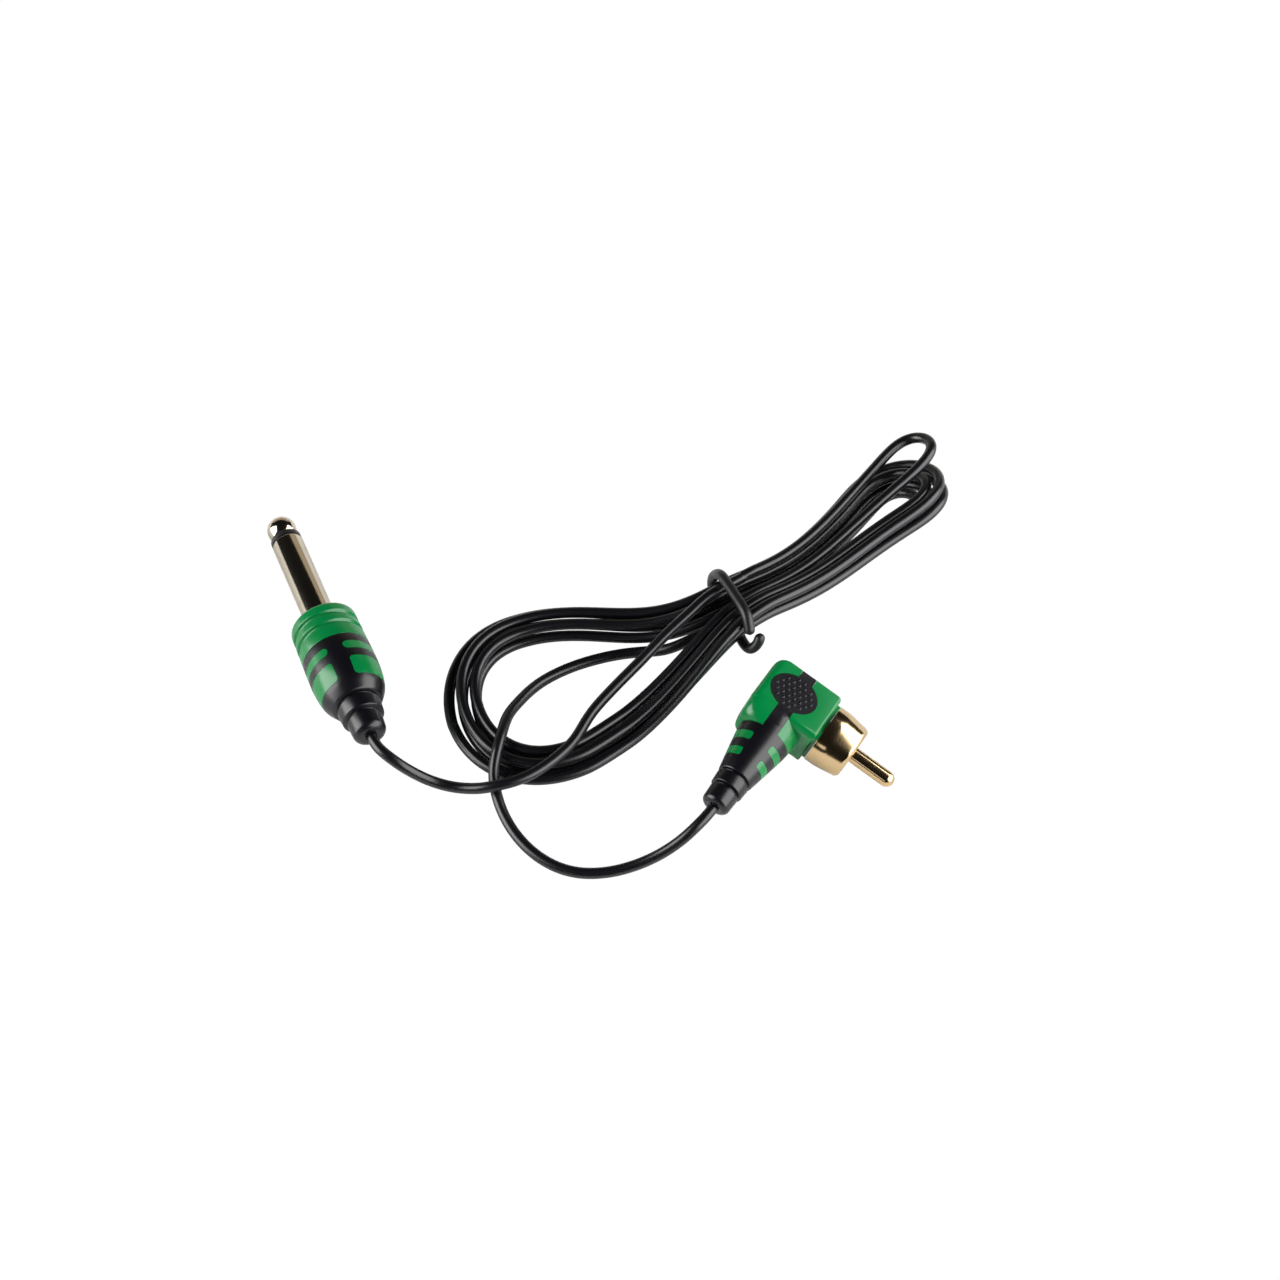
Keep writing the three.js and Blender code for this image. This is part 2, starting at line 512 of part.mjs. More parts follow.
function phonePlug() {
  const group = new THREE.Group();
  const { geometry: tip, seat } = phonePlugTip();
  const ringTop = seat - CLEARANCE;
  const ringBottom = ringTop - RING_THICKNESS;
  const sleeveTop = ringBottom - CLEARANCE;
  const tubeInner = ROD_RADIUS + CLEARANCE;
  const tube = ring(tubeInner, SLEEVE_BORE - CLEARANCE, FLANGE_BOTTOM, sleeveTop, INNER_SIDES);
  const washerRadius = GRIP_CAVITY_RADIUS - CLEARANCE;
  const washer = ring(tubeInner, washerRadius, WASHER_BOTTOM, FLANGE_BOTTOM - CLEARANCE, INNER_SIDES);
  const tipLug = ring(tubeInner, LUG_RADIUS, TIP_LUG_BOTTOM, WASHER_BOTTOM - CLEARANCE, INNER_SIDES);
  const solder = bar(SOLDER_RADIUS, CORE_SOLDER_BOTTOM, ROD_BOTTOM - CLEARANCE, INNER_SIDES);
  const core = bar(CONDUCTOR_RADIUS, JACKET_TOP + CLEARANCE, CORE_SOLDER_BOTTOM - CLEARANCE, LEAD_SIDES);
  const shieldTail = block([-SHIELD_TAIL_WIDTH / 2, JACKET_TOP + CLEARANCE, -CABLE_RADIUS - CLEARANCE],
    [SHIELD_TAIL_WIDTH, SHIELD_TAIL_LENGTH, SHIELD_TAIL_THICKNESS]);
  group.add(
    piece('jack_tip', tip, PALE_GOLD),
    piece('jack_tip_insulator', ring(tubeInner, SLEEVE_RADIUS - 0.03, ringBottom, ringTop), INSULATOR_BLACK),
    piece('jack_insulating_tube', tube, INSULATOR_WHITE),
    piece('jack_sleeve', phonePlugSleeve(sleeveTop), PALE_GOLD),
    piece('jack_rear_washer', washer, INSULATOR_BLACK),
    piece('jack_tip_lug', tipLug, TINNED_STEEL),
    piece('jack_core_solder', solder, SOLDER),
    piece('jack_core_wire', core, COPPER),
    piece('jack_sleeve_lug', surface(clawLug(TIP_LUG_BOTTOM - CLEARANCE, JACKET_TOP - STRIP_OVERLAP)),
      TINNED_STEEL),
    piece('jack_shield_tail', shieldTail, COPPER),
    piece('jack_cable_end', bar(CABLE_RADIUS, -GRIP_LENGTH, JACKET_TOP, INNER_SIDES), CABLE_JACKET),
    piece('jack_green_body', surface(gripMoulding()), GREEN_PLASTIC),
    piece('jack_black_overmould', surface(gripOvermould()), BLACK_PLASTIC),
  );
  return group;
}

// ---------------------------------------------------------------- phono plug
// In its own frame the pin points along +X from the collar's base at x = 0, the cable leaves towards -Y
// and the thumb pad faces +Z.

const HOUSING_FRONT = -CLEARANCE - FLANGE_THICKNESS;
const HOUSING_REAR = HOUSING_FRONT - HOUSING_LENGTH;
const HOUSING_BORE_DEPTH = -HOUSING_REAR - HOUSING_REAR_WALL;
const BOOT_AXIS = HOUSING_REAR + BOOT_FROM_REAR;
const BOOT_TAIL_AT = taperEnd(BOOT_RELIEF_STEPS, BOOT_LENGTH);
const PAD_CENTRE = HOUSING_REAR + PAD_FROM_REAR;
const PIN_SHANK_END = BOOT_AXIS + PIN_SHANK_SHORT;

/** A piece turned about the pin's axis. */
const aboutPin = (geometry) => geometry.rotateZ(-Math.PI / 2);

/** A piece turned about the boot's axis. */
const aboutBoot = (geometry) => geometry.translate(BOOT_AXIS, 0, 0);

function phonoPin() {
  const profile = [[0, PIN_REACH]];
  const steps = 5;
  for (let i = 1; i <= steps; i += 1) {
    const angle = (Math.PI * i) / (2 * steps);
    profile.push([PIN_RADIUS * Math.sin(angle), PIN_REACH - PIN_RADIUS + PIN_RADIUS * Math.cos(angle)]);
  }
  const shoulder = COLLAR_FLOOR + DIELECTRIC_THICKNESS + 2 * CLEARANCE;
  profile.push([PIN_RADIUS, shoulder], [PIN_SHANK_RADIUS, shoulder]);
  profile.push([PIN_SHANK_RADIUS, PIN_SHANK_END], [0, PIN_SHANK_END]);
  return aboutPin(turned(profile.reverse(), METAL_SIDES));
}

/** The outside of the collar, from its base to its rim, as radius and distance along the pin. */
const phonoCollarOutside = () => [
  [COLLAR_RADIUS, 0],
  [COLLAR_RADIUS, COLLAR_STRAIGHT_LENGTH],
  [(2 * COLLAR_RADIUS + COLLAR_RIM_RADIUS) / 3, (COLLAR_STRAIGHT_LENGTH + COLLAR_LENGTH) / 2],
  [COLLAR_RIM_RADIUS, COLLAR_LENGTH - COLLAR_RIM_ROUND],
  [COLLAR_RIM_RADIUS - COLLAR_RIM_ROUND * 0.3, COLLAR_LENGTH - COLLAR_RIM_ROUND * 0.3],
  [COLLAR_RIM_RADIUS - COLLAR_RIM_ROUND, COLLAR_LENGTH],
];

function phonoCollar() {
  const tailBore = COLLAR_TAIL_RADIUS - COLLAR_TAIL_WALL;
  return aboutPin(turned([
    [tailBore, -COLLAR_TAIL_LENGTH],
    [COLLAR_TAIL_RADIUS, -COLLAR_TAIL_LENGTH],
    [COLLAR_TAIL_RADIUS, 0],
    ...phonoCollarOutside(),
    [COLLAR_BORE, COLLAR_LENGTH],
    [COLLAR_BORE, COLLAR_FLOOR],
    [tailBore, COLLAR_FLOOR],
  ], METAL_SIDES, true));
}

function phonoDielectric() {
  const bore = PIN_SHANK_RADIUS + CLEARANCE;
  const neck = COLLAR_TAIL_RADIUS - COLLAR_TAIL_WALL - CLEARANCE;
  const seat = COLLAR_FLOOR + CLEARANCE;
  return aboutPin(turned([
    [bore, -COLLAR_TAIL_LENGTH],
    [neck, -COLLAR_TAIL_LENGTH],
    [neck, seat],
    [COLLAR_BORE - CLEARANCE, seat],
    [COLLAR_BORE - CLEARANCE, seat + DIELECTRIC_THICKNESS],
    [bore, seat + DIELECTRIC_THICKNESS],
  ], METAL_SIDES, true));
}

/** The rounded block of the housing. */
function housingBlock() {
  const outline = roundedRectangle(HOUSING_REAR + HOUSING_EDGE, -HOUSING_WIDTH / 2 + HOUSING_EDGE,
    HOUSING_FRONT - HOUSING_EDGE, HOUSING_WIDTH / 2 - HOUSING_EDGE,
    [HOUSING_FRONT_CORNER, HOUSING_FRONT_CORNER, HOUSING_FRONT_CORNER, HOUSING_REAR_CORNER]);
  const geometry = new THREE.ExtrudeGeometry(outline, {
    depth: HOUSING_HEIGHT - 2 * HOUSING_EDGE,
    bevelEnabled: true,
    bevelThickness: HOUSING_EDGE,
    bevelSize: HOUSING_EDGE,
    bevelSegments: 3,
    curveSegments: 4,
  });
  return solid(geometry.translate(0, 0, HOUSING_EDGE - HOUSING_HEIGHT / 2));
}

/** The inside of the block, drawn in by the thickness of the skin over it. */
const housingCore = (inset) =>
  solid(block([HOUSING_REAR + inset, -HOUSING_WIDTH / 2 + inset, -HOUSING_HEIGHT / 2 + inset],
    [HOUSING_LENGTH - inset, HOUSING_WIDTH - 2 * inset, HOUSING_HEIGHT - 2 * inset]));

function housingFlange() {
  const [tall, wide] = [HOUSING_HEIGHT / 2 - FLANGE_STEP, HOUSING_WIDTH / 2 - FLANGE_STEP];
  const corners = Array(4).fill(FLANGE_CORNER);
  const depth = FLANGE_THICKNESS + HOUSING_EDGE;
  const lip = new THREE.ExtrudeGeometry(roundedRectangle(-tall, -wide, tall, wide, corners), {
    depth, bevelEnabled: false, curveSegments: 4,
  });
  return solid(lip.rotateY(Math.PI / 2).translate(HOUSING_FRONT - HOUSING_EDGE, 0, 0));
}

const bootProfile = (inset) => [
  [BOOT_ROOT_RADIUS - inset, 0],
  [BOOT_ROOT_RADIUS - inset, -HOUSING_WIDTH / 2],
  [BOOT_SLEEVE_RADIUS - inset, -BOOT_SLEEVE_END],
  [BOOT_MIDDLE_RADIUS - inset, -BOOT_MIDDLE_AT],
];

const BOOT_CORE_END = BOOT_TAIL_AT - 1.4; // where the light core inside the boot stops
const BOOT_CORE_SWELL = 0.25; // how much thinner the skin is there

/** The oval flare at the boot's root, which carries the housing's rear face down to the sleeve's end. */
function bootFlare() {
  const flare = turned([
    [0, -BOOT_FLARE_FROM],
    [BOOT_FROM_REAR, -BOOT_FLARE_FROM],
    [BOOT_SLEEVE_RADIUS, -BOOT_SLEEVE_END],
    [0, -BOOT_SLEEVE_END],
  ].reverse(), GRIP_SIDES);
  return solid(aboutBoot(flare.scale(1, 1, BOOT_FLARE_HEIGHT)));
}

function bootSolid() {
  return solid(aboutBoot(turned([
    [0, 0],
    ...bootProfile(0),
    [BOOT_TAIL_RADIUS, -BOOT_TAIL_AT],
    ...reliefProfile(BOOT_RELIEF_STEPS, BOOT_LENGTH, BOOT_END_RADIUS),
    [0, -BOOT_LENGTH],
  ].reverse(), GRIP_SIDES)));
}

function bootCore(inset, end) {
  return solid(aboutBoot(turned([
    [0, 0],
    ...bootProfile(inset),
    [BOOT_TAIL_RADIUS - inset + BOOT_CORE_SWELL, -end],
    [0, -end],
  ].reverse(), GRIP_SIDES)));
}

/** The dark regions of the housing seen from above, as a solid that goes right through it. */
function darkRegion(grow) {
  const reach = HOUSING_HEIGHT + 2;
  const oval = new THREE.Shape();
  oval.absellipse(PAD_CENTRE, 0, PAD_LENGTH / 2 + grow, PAD_WIDTH / 2 + grow, 0, 2 * Math.PI);
  const pad = new THREE.ExtrudeGeometry(oval, { depth: reach, bevelEnabled: false, curveSegments: 12 });
  const stripe = block([PAD_CENTRE + STRIPE_FROM_PAD - STRIPE_WIDTH / 2 - grow, 0, -reach / 2],
    [STRIPE_WIDTH + 2 * grow, HOUSING_WIDTH, reach]);
  const neck = block([BOOT_AXIS - NECK_WIDTH / 2 - grow, -BOOT_SLEEVE_END - 1, -reach / 2],
    [NECK_WIDTH + 2 * grow, BOOT_SLEEVE_END + 1, reach]);
  const boot = block([BOOT_AXIS - HOUSING_LENGTH, -2 * BOOT_LENGTH, -reach / 2],
    [2 * HOUSING_LENGTH, 2 * BOOT_LENGTH - BOOT_SLEEVE_END + grow, reach]);
  return joined(solid(pad.translate(0, 0, -reach / 2)), solid(stripe), solid(neck), solid(boot));
}

/** The boot's windows, or the light bosses that fill them. */
const bootWindows = (shrink) => windows(BOOT_WINDOW_ROWS, BOOT_WINDOW_FLOOR, BOOT_ROOT_RADIUS + 1, shrink)
  .map((window) => window.translate([BOOT_AXIS, 0, 0]));

function phonoOvermould(outer) {
  const inner = joined(housingCore(HOUSING_SKIN), bootCore(BOOT_SKIN, BOOT_CORE_END));
  const passage = bar(CABLE_RADIUS + CLEARANCE, -BOOT_LENGTH - 1, -BOOT_CORE_END + 1, INNER_SIDES);
  return cut(outer.intersect(darkRegion(0)), inner, solid(aboutBoot(passage)), ...bootWindows(0));
}

function phonoHousing(outer) {
  const shell = outer.subtract(darkRegion(CLEARANCE));
  const block = housingCore(HOUSING_SKIN + CLEARANCE);
  const core = joined(block, bootCore(BOOT_SKIN + CLEARANCE, BOOT_CORE_END - CLEARANCE));
  const bosses = bootWindows(CLEARANCE).map((boss) => boss.intersect(outer));
  const bore = solid(aboutPin(bar(HOUSING_BORE, -HOUSING_BORE_DEPTH, 1)));
  const passage = solid(aboutBoot(bar(CABLE_RADIUS + CLEARANCE, -BOOT_LENGTH, 0, INNER_SIDES)));
  return cut(joined(shell, core.intersect(outer), ...bosses), bore, passage);
}

function phonoPlug() {
  const group = new THREE.Group();
  const outer = joined(housingBlock(), housingFlange(), bootSolid(), bootFlare());
  const solderEnd = PIN_SHANK_END - CLEARANCE;
  const solder = bar(SOLDER_RADIUS, solderEnd - SOLDER_LENGTH, solderEnd, INNER_SIDES);
  const jacketTop = -HOUSING_BORE + 0.2;
  const core = bar(CONDUCTOR_RADIUS, jacketTop + CLEARANCE, -SOLDER_RADIUS - CLEARANCE, LEAD_SIDES);
  const washerTop = -COLLAR_TAIL_LENGTH - CLEARANCE;
  const washer = ring(PIN_SHANK_RADIUS + CLEARANCE, COLLAR_TAIL_RADIUS - 0.1, washerTop - LUG_THICKNESS,
    washerTop, INNER_SIDES);
  const strapTop = -CABLE_RADIUS - CLEARANCE;
  const strapEnd = -HOUSING_BORE_DEPTH + CLEARANCE;
  const strap = block([strapEnd, -GROUND_STRAP_WIDTH / 2, strapTop - LUG_THICKNESS],
    [washerTop - strapEnd - 0.1, GROUND_STRAP_WIDTH, LUG_THICKNESS]);
  const shieldTail = block([BOOT_AXIS - SHIELD_TAIL_WIDTH / 2, jacketTop + CLEARANCE, strapTop + 0.2],
    [SHIELD_TAIL_WIDTH, 1.5, 0.4]);
  group.add(
    piece('rca_pin', phonoPin(), RICH_GOLD),
    piece('rca_collar', phonoCollar(), RICH_GOLD),
    piece('rca_dielectric', phonoDielectric(), INSULATOR_WHITE),
    piece('rca_ground_lug', surface(solid(aboutPin(washer)).add(solid(strap))), TINNED_STEEL),
    piece('rca_core_solder', aboutPin(solder), SOLDER),
    piece('rca_core_wire', core.translate(solderEnd - SOLDER_LENGTH / 2, 0, 0), COPPER),
    piece('rca_shield_tail', shieldTail, COPPER),
    piece('rca_cable_end', aboutBoot(bar(CABLE_RADIUS, -BOOT_LENGTH, jacketTop, INNER_SIDES)), CABLE_JACKET),
    piece('rca_green_body', surface(phonoHousing(outer)), GREEN_PLASTIC),
    piece('rca_black_overmould', surface(phonoOvermould(outer)), BLACK_PLASTIC),
  );
  return group;
}

// ---------------------------------------------------------------- hank

const { clamp, smoothstep } = THREE.MathUtils;

/** How far the middle line leaves its arc, and how steeply, at a distance along it. */
function swayAt(along) {
  let [offset, slope] = [0, 0];
  for (const { sway, from, to } of HANK_SWAYS) {
    const share = clamp((along - from) / (to - from), 0, 1);
    offset += sway * smoothstep(share, 0, 1);
    slope += (sway * 6 * share * (1 - share)) / (to - from);
  }
  return [offset, slope];
}

/** A place in the hank: along its bent middle line from the tie, across it to the left, and up. */
function besideHank(along, across, up) {
  const start = radians(HANK_HEADING);
  const heading = start + along / HANK_BEND_RADIUS;
  const [offset, slope] = swayAt(along);
  const facing = heading + Math.atan(slope);
  const roll = radians(HANK_ROLL) * smoothstep(along, HANK_ROLL_FROM, HANK_ROLL_TO);
  const [dy, dz] = [across - HANK_ROLL_PIVOT, up - CABLE_RADIUS];
  const side = HANK_ROLL_PIVOT + dy * Math.cos(roll) + dz * Math.sin(roll);
  return new THREE.Vector3(
    HANK_MIDDLE[0] + HANK_BEND_RADIUS * (Math.sin(heading) - Math.sin(start))
      - offset * Math.sin(heading) - side * Math.sin(facing),
    HANK_MIDDLE[1] - HANK_BEND_RADIUS * (Math.cos(heading) - Math.cos(start))
      + offset * Math.cos(heading) + side * Math.cos(facing),
    CABLE_RADIUS - dy * Math.sin(roll) + dz * Math.cos(roll),
  );
}

/** The base line of the winding, along and across, at a winding angle. */
function baseLine(angle) {
  const along = Math.cos(angle);
  const { reach, halfWidth, taper, bluntness } = along > 0 ? FAR_LOBE : NEAR_LOBE;
  const widest = taper / (taper + bluntness / 2);
  const peak = widest ** (taper / bluntness) * Math.sqrt(1 - widest);
  const share = Math.abs(along);
  const bulge = (halfWidth / peak) * share ** taper * Math.sqrt(Math.max(0, 1 - share ** bluntness));
  const side = Math.sin(angle);
  return new THREE.Vector2(reach * along, Math.sign(side) * bulge + (HANK_STEP / 4) * side);
}

/** The middle of the cable at a winding angle. */
function hankPoint(angle) {
  const small = 1e-4;
  const travel = baseLine(angle + small).sub(baseLine(angle - small)).normalize();
  const turn = 2 * Math.PI;
  const loops = angle < HANK_REVERSAL
    ? (angle - HANK_BEGINNING) / turn
    : (2 * HANK_REVERSAL - HANK_BEGINNING - angle) / turn;
  const place = baseLine(angle).addScaledVector(new THREE.Vector2(travel.y, -travel.x), loops * HANK_STEP);
  const climb = clamp((angle - HANK_REVERSAL) / Math.PI, 0, 1);
  const last = clamp((angle - HANK_FINISH) / Math.PI + 1, 0, 1);
  const rise = Math.sin(last * Math.PI) ** 2;
  const settled = smoothstep(last, 0, 1);
  const along = place.x + LAST_FOLD_REACH * rise * Math.abs(Math.cos(angle));
  const across = place.y + (HANK_STEP / 2) * settled + LAST_FOLD_SHIFT * rise;
  const layer = HANK_LAYER_RISE * Math.sqrt(1 - (1 - climb) ** 2) + HANK_STEP * Math.sqrt(0.75) * settled;
  const waist = (TIE_DIAMETER + CLEARANCE + WAIST_GAP) * Math.exp(-((along / WAIST_RISE_REACH) ** 2));
  return besideHank(along, across, CABLE_RADIUS + layer + LAST_FOLD_RISE * rise + waist);
}

/** The whole winding, with a straight step of one diameter at each end. Its steps lie closer at the folds. */
class HankPath extends THREE.Curve {
  constructor() {
    super();
    const trim = Math.asin(HANK_END_REACH / FAR_LOBE.reach);
    const [first, last] = [HANK_BEGINNING + trim, HANK_FINISH - trim];
    this.angles = [first];
    const start = Math.round((HANK_BEGINNING * LOOP_STEPS) / (2 * Math.PI));
    for (let i = start; this.angles.at(-1) < last; i += 1) {
      const even = (2 * Math.PI * i) / LOOP_STEPS;
      const angle = even - (FOLD_CROWDING / 2) * Math.sin(2 * even);
      if (angle > first) this.angles.push(Math.min(angle, last));
    }
    this.steps = this.angles.length + 1;
  }

  getUtoTmapping(u) {
    return u;
  }

  getPoint(t, target = new THREE.Vector3()) {
    const last = this.angles.length - 1;
    const step = t * this.steps - 1;
    if (step >= 0 && step <= last) {
      const i = Math.min(Math.floor(step), last - 1);
      return target.copy(hankPoint(THREE.MathUtils.lerp(this.angles[i], this.angles[i + 1], step - i)));
    }
    const [end, away] = step < 0 ? [this.angles[0], -1] : [this.angles[last], 1];
    const point = hankPoint(end);
    const outward = point.clone().sub(hankPoint(end - away * 1e-3)).normalize();
    const past = step < 0 ? -step : step - last;
    return target.copy(point).addScaledVector(outward, past * CABLE_DIAMETER);
  }
}

/** The least gap between stretches of a cable that lie apart along it, measured on points. */
function leastGap(path) {
  const count = 8 * path.steps;
  const points = [];
  for (let i = 0; i <= count; i += 1) points.push(path.getPoint(i / count));
  const travelled = [0];
  for (let i = 1; i <= count; i += 1) travelled.push(travelled[i - 1] + points[i].distanceTo(points[i - 1]));
  let least = Infinity;
  for (let i = 0; i <= count; i += 1) {
    for (let j = i + 1; j <= count; j += 1) {
      const apart = travelled[j] - travelled[i] > 4 * CABLE_DIAMETER;
      if (apart) least = Math.min(least, points[i].distanceTo(points[j]));
    }
  }
  return least - CABLE_DIAMETER;
}

// ---------------------------------------------------------------- assembly

/** Turns and places the phone plug so that its ball tip and the edge of its grip both touch z = 0. */
function layPhonePlug(group) {
  const ball = PLUG_REACH - TIP_RADIUS;
  let dip = 0;
  for (let i = 0; i < 20; i += 1) {
    dip = Math.asin((GRIP_FRONT_RADIUS * Math.cos(dip) - TIP_RADIUS) / (ball + GRIP_EDGE_ROUND));
  }
  const height = GRIP_FRONT_RADIUS * Math.cos(dip) - GRIP_EDGE_ROUND * Math.sin(dip);
  const turn = new THREE.Matrix4().makeRotationZ(radians(PHONE_PLUG_HEADING - 90));
  turn.multiply(new THREE.Matrix4().makeRotationX(-dip));
  turn.multiply(new THREE.Matrix4().makeRotationY(radians(-PHONE_PLUG_ROLL)));
  group.applyMatrix4(turn);
  group.position.set(PHONE_PLUG_FACE[0], PHONE_PLUG_FACE[1], height);
  return group;
}

/** Turns and places the phono plug so that the edge of its collar touches z = 0, the pin pointing down. */
function layPhonoPlug(group) {
  const dip = radians(PHONO_PLUG_DIP);
  const height = Math.max(...phonoCollarOutside().map(([radius, along]) =>
    radius * Math.cos(dip) + along * Math.sin(dip)));
  const turn = new THREE.Matrix4().makeRotationZ(radians(PHONO_PLUG_HEADING));
  turn.multiply(new THREE.Matrix4().makeRotationY(dip));
  group.applyMatrix4(turn);
  group.position.set(PHONO_PLUG_BASE[0], PHONO_PLUG_BASE[1], height);
  return group;
}

const vectors = (points) => points.map((point) => new THREE.Vector3(...point));
const smooth = (points) => new THREE.CatmullRomCurve3(vectors(points), false, 'centripetal');

/** A free stretch of cable. */
function lead(name, points) {
  const curve = smooth(points);
  return piece(name, wire(curve, CABLE_RADIUS, Math.round(curve.getLength() / LEAD_STEP)), CABLE_JACKET);
}

const tiePath = smooth(TIE_POINTS.map((point) => besideHank(...point).toArray()));
const tie = piece('cable_tie', wire(tiePath, TIE_DIAMETER / 2, TIE_STEPS), TIE_RUBBER);

const hankPath = new HankPath();
const hank = piece('cable_hank', wire(hankPath, CABLE_RADIUS, hankPath.steps, LOOP_SIDES), CABLE_JACKET);
console.log(`hank: least gap to itself ${leastGap(hankPath).toFixed(2)} mm`);

const instrumentCable = new THREE.Group();
instrumentCable.add(
  layPhonePlug(phonePlug()),
  layPhonoPlug(phonoPlug()),
  lead('cable_jack_lead', PHONE_LEAD),
  lead('cable_rca_lead', PHONO_LEAD),
  hank,
  tie,
);

export default instrumentCable;
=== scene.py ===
"""The looks of an instrument cable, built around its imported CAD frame.

A thin black cable lies in a hank that a tie holds at its waist. One end carries a straight phone
plug and the other a right-angle phono plug, both in green plastic with a black overmould. Sizes are
in millimetres in each class, and every mesh goes to metres when it is placed.
"""

import json
import logging
import math
from dataclasses import dataclass, field
from enum import Enum
from typing import Sequence

import bmesh
import bpy
from bmesh.types import BMEdge, BMesh, BMVert
from bpy.types import ID, Material, Mesh, Node, NodeSocket, NodeTree, Object
from mathutils import Matrix, Vector

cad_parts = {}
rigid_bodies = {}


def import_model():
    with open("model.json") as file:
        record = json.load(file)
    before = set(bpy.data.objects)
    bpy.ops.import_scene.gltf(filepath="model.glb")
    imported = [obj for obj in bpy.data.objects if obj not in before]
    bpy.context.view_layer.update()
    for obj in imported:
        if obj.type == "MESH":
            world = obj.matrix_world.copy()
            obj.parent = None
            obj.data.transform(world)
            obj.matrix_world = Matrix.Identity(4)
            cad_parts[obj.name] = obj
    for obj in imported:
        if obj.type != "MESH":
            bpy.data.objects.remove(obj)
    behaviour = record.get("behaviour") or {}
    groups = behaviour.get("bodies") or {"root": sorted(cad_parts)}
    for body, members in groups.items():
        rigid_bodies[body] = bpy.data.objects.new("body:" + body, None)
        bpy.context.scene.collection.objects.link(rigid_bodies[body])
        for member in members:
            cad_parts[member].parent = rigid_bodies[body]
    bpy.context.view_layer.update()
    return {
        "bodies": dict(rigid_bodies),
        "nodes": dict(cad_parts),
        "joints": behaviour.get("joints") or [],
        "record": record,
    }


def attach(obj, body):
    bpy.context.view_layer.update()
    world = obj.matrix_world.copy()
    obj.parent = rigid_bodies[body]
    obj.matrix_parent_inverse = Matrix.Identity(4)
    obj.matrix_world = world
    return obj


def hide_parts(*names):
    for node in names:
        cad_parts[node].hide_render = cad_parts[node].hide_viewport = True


LOG = logging.getLogger("instrument_cable")
MM = 0.001
BODY = "root"
PLACE = "plug_place"
Size = tuple[float, float]
Point = tuple[float, float, float]
Colour = tuple[float, float, float]


class Slot(Enum):
    """The record's material slots."""

    GREEN = "green_plastic"
    BLACK = "black_plastic"
    JACKET = "cable_jacket"
    TIE = "tie_rubber"
    PALE_GOLD = "pale_gold"
    RICH_GOLD = "rich_gold"
    INSULATOR_BLACK = "insulator_black"
    INSULATOR_WHITE = "insulator_white"
    STEEL = "tinned_steel"
    SOLDER = "solder"
    COPPER = "copper"


SLOT_NODES = {
    Slot.GREEN: ("jack_green_body", "rca_green_body"),
    Slot.BLACK: ("jack_black_overmould", "rca_black_overmould"),
    Slot.JACKET: ("jack_cable_end", "rca_cable_end", "cable_jack_lead", "cable_rca_lead",
                  "cable_hank"),
    Slot.TIE: ("cable_tie",),
    Slot.PALE_GOLD: ("jack_tip", "jack_sleeve"),
    Slot.RICH_GOLD: ("rca_pin", "rca_collar"),
    Slot.INSULATOR_BLACK: ("jack_tip_insulator", "jack_rear_washer"),
    Slot.INSULATOR_WHITE: ("jack_insulating_tube", "rca_dielectric"),
    Slot.STEEL: ("jack_tip_lug", "jack_sleeve_lug", "rca_ground_lug"),
    Slot.SOLDER: ("jack_core_solder", "rca_core_solder"),
    Slot.COPPER: ("jack_core_wire", "jack_shield_tail", "rca_core_wire", "rca_shield_tail"),
}


class Carve(Enum):
    """How one solid works on another."""

    JOIN = "UNION"
    CUT = "DIFFERENCE"
    KEEP = "INTERSECT"


# ------------------------------------------------------------------ shader tools


class NodePen:
    """Draws nodes and links in one node tree."""

    def __init__(self, tree: NodeTree) -> None:
        """Takes the tree to draw in and clears it."""
        self.tree = tree
        self.tree.nodes.clear()

    def feed(self, socket: NodeSocket, value: object) -> None:
        """Links an output to an input, or sets the input's value.

        Args:
            socket: The input.
            value: An output, or what the input is set to.
        """
        if isinstance(value, NodeSocket):
            self.tree.links.new(value, socket)
        else:
            socket.default_value = value

    def add(self, kind: str, **values: object) -> Node:
        """Adds a node.

        Args:
            kind: The node's type name.
            values: Its properties, and its inputs by name with underscores for spaces.

        Returns:
            The new node.
        """
        node = self.tree.nodes.new(kind)
        for name, value in values.items():
            if hasattr(node, name):
                setattr(node, name, value)
            else:
                self.feed(node.inputs[name.replace("_", " ")], value)
        return node

    def maths(self, operation: str, *terms: object) -> NodeSocket:
        """Adds a Math node.

        Args:
            operation: The node's operation.
            terms: Numbers, or outputs to link.

        Returns:
            The node's output.
        """
        node = self.add("ShaderNodeMath", operation=operation)
        for socket, term in zip(node.inputs, terms):
            self.feed(socket, term)
        return node.outputs[0]

    def blend(self, share: NodeSocket, first: NodeSocket, second: NodeSocket) -> NodeSocket:
        """Mixes two colours.

        Args:
            share: How much of the second colour shows.
            first: A colour.
            second: A colour.

        Returns:
            The mixed colour.
        """
        node = self.add("ShaderNodeMix", data_type="RGBA")
        for index, source in ((0, share), (6, first), (7, second)):
            self.feed(node.inputs[index], source)
        return node.outputs[2]

    def noise(self, **values: object) -> NodeSocket:
        """Adds a Noise Texture node and gives its pattern."""
        return self.add("ShaderNodeTexNoise", **values).outputs["Fac"]

    def ramp(self, source: NodeSocket, low: float, high: float, top: float = 1.0) -> NodeSocket:
        """Stretches the values between low and high over 0 to top, and gives them."""
        return self.add("ShaderNodeMapRange", Value=source, From_Min=low, From_Max=high,
                        To_Max=top).outputs[0]


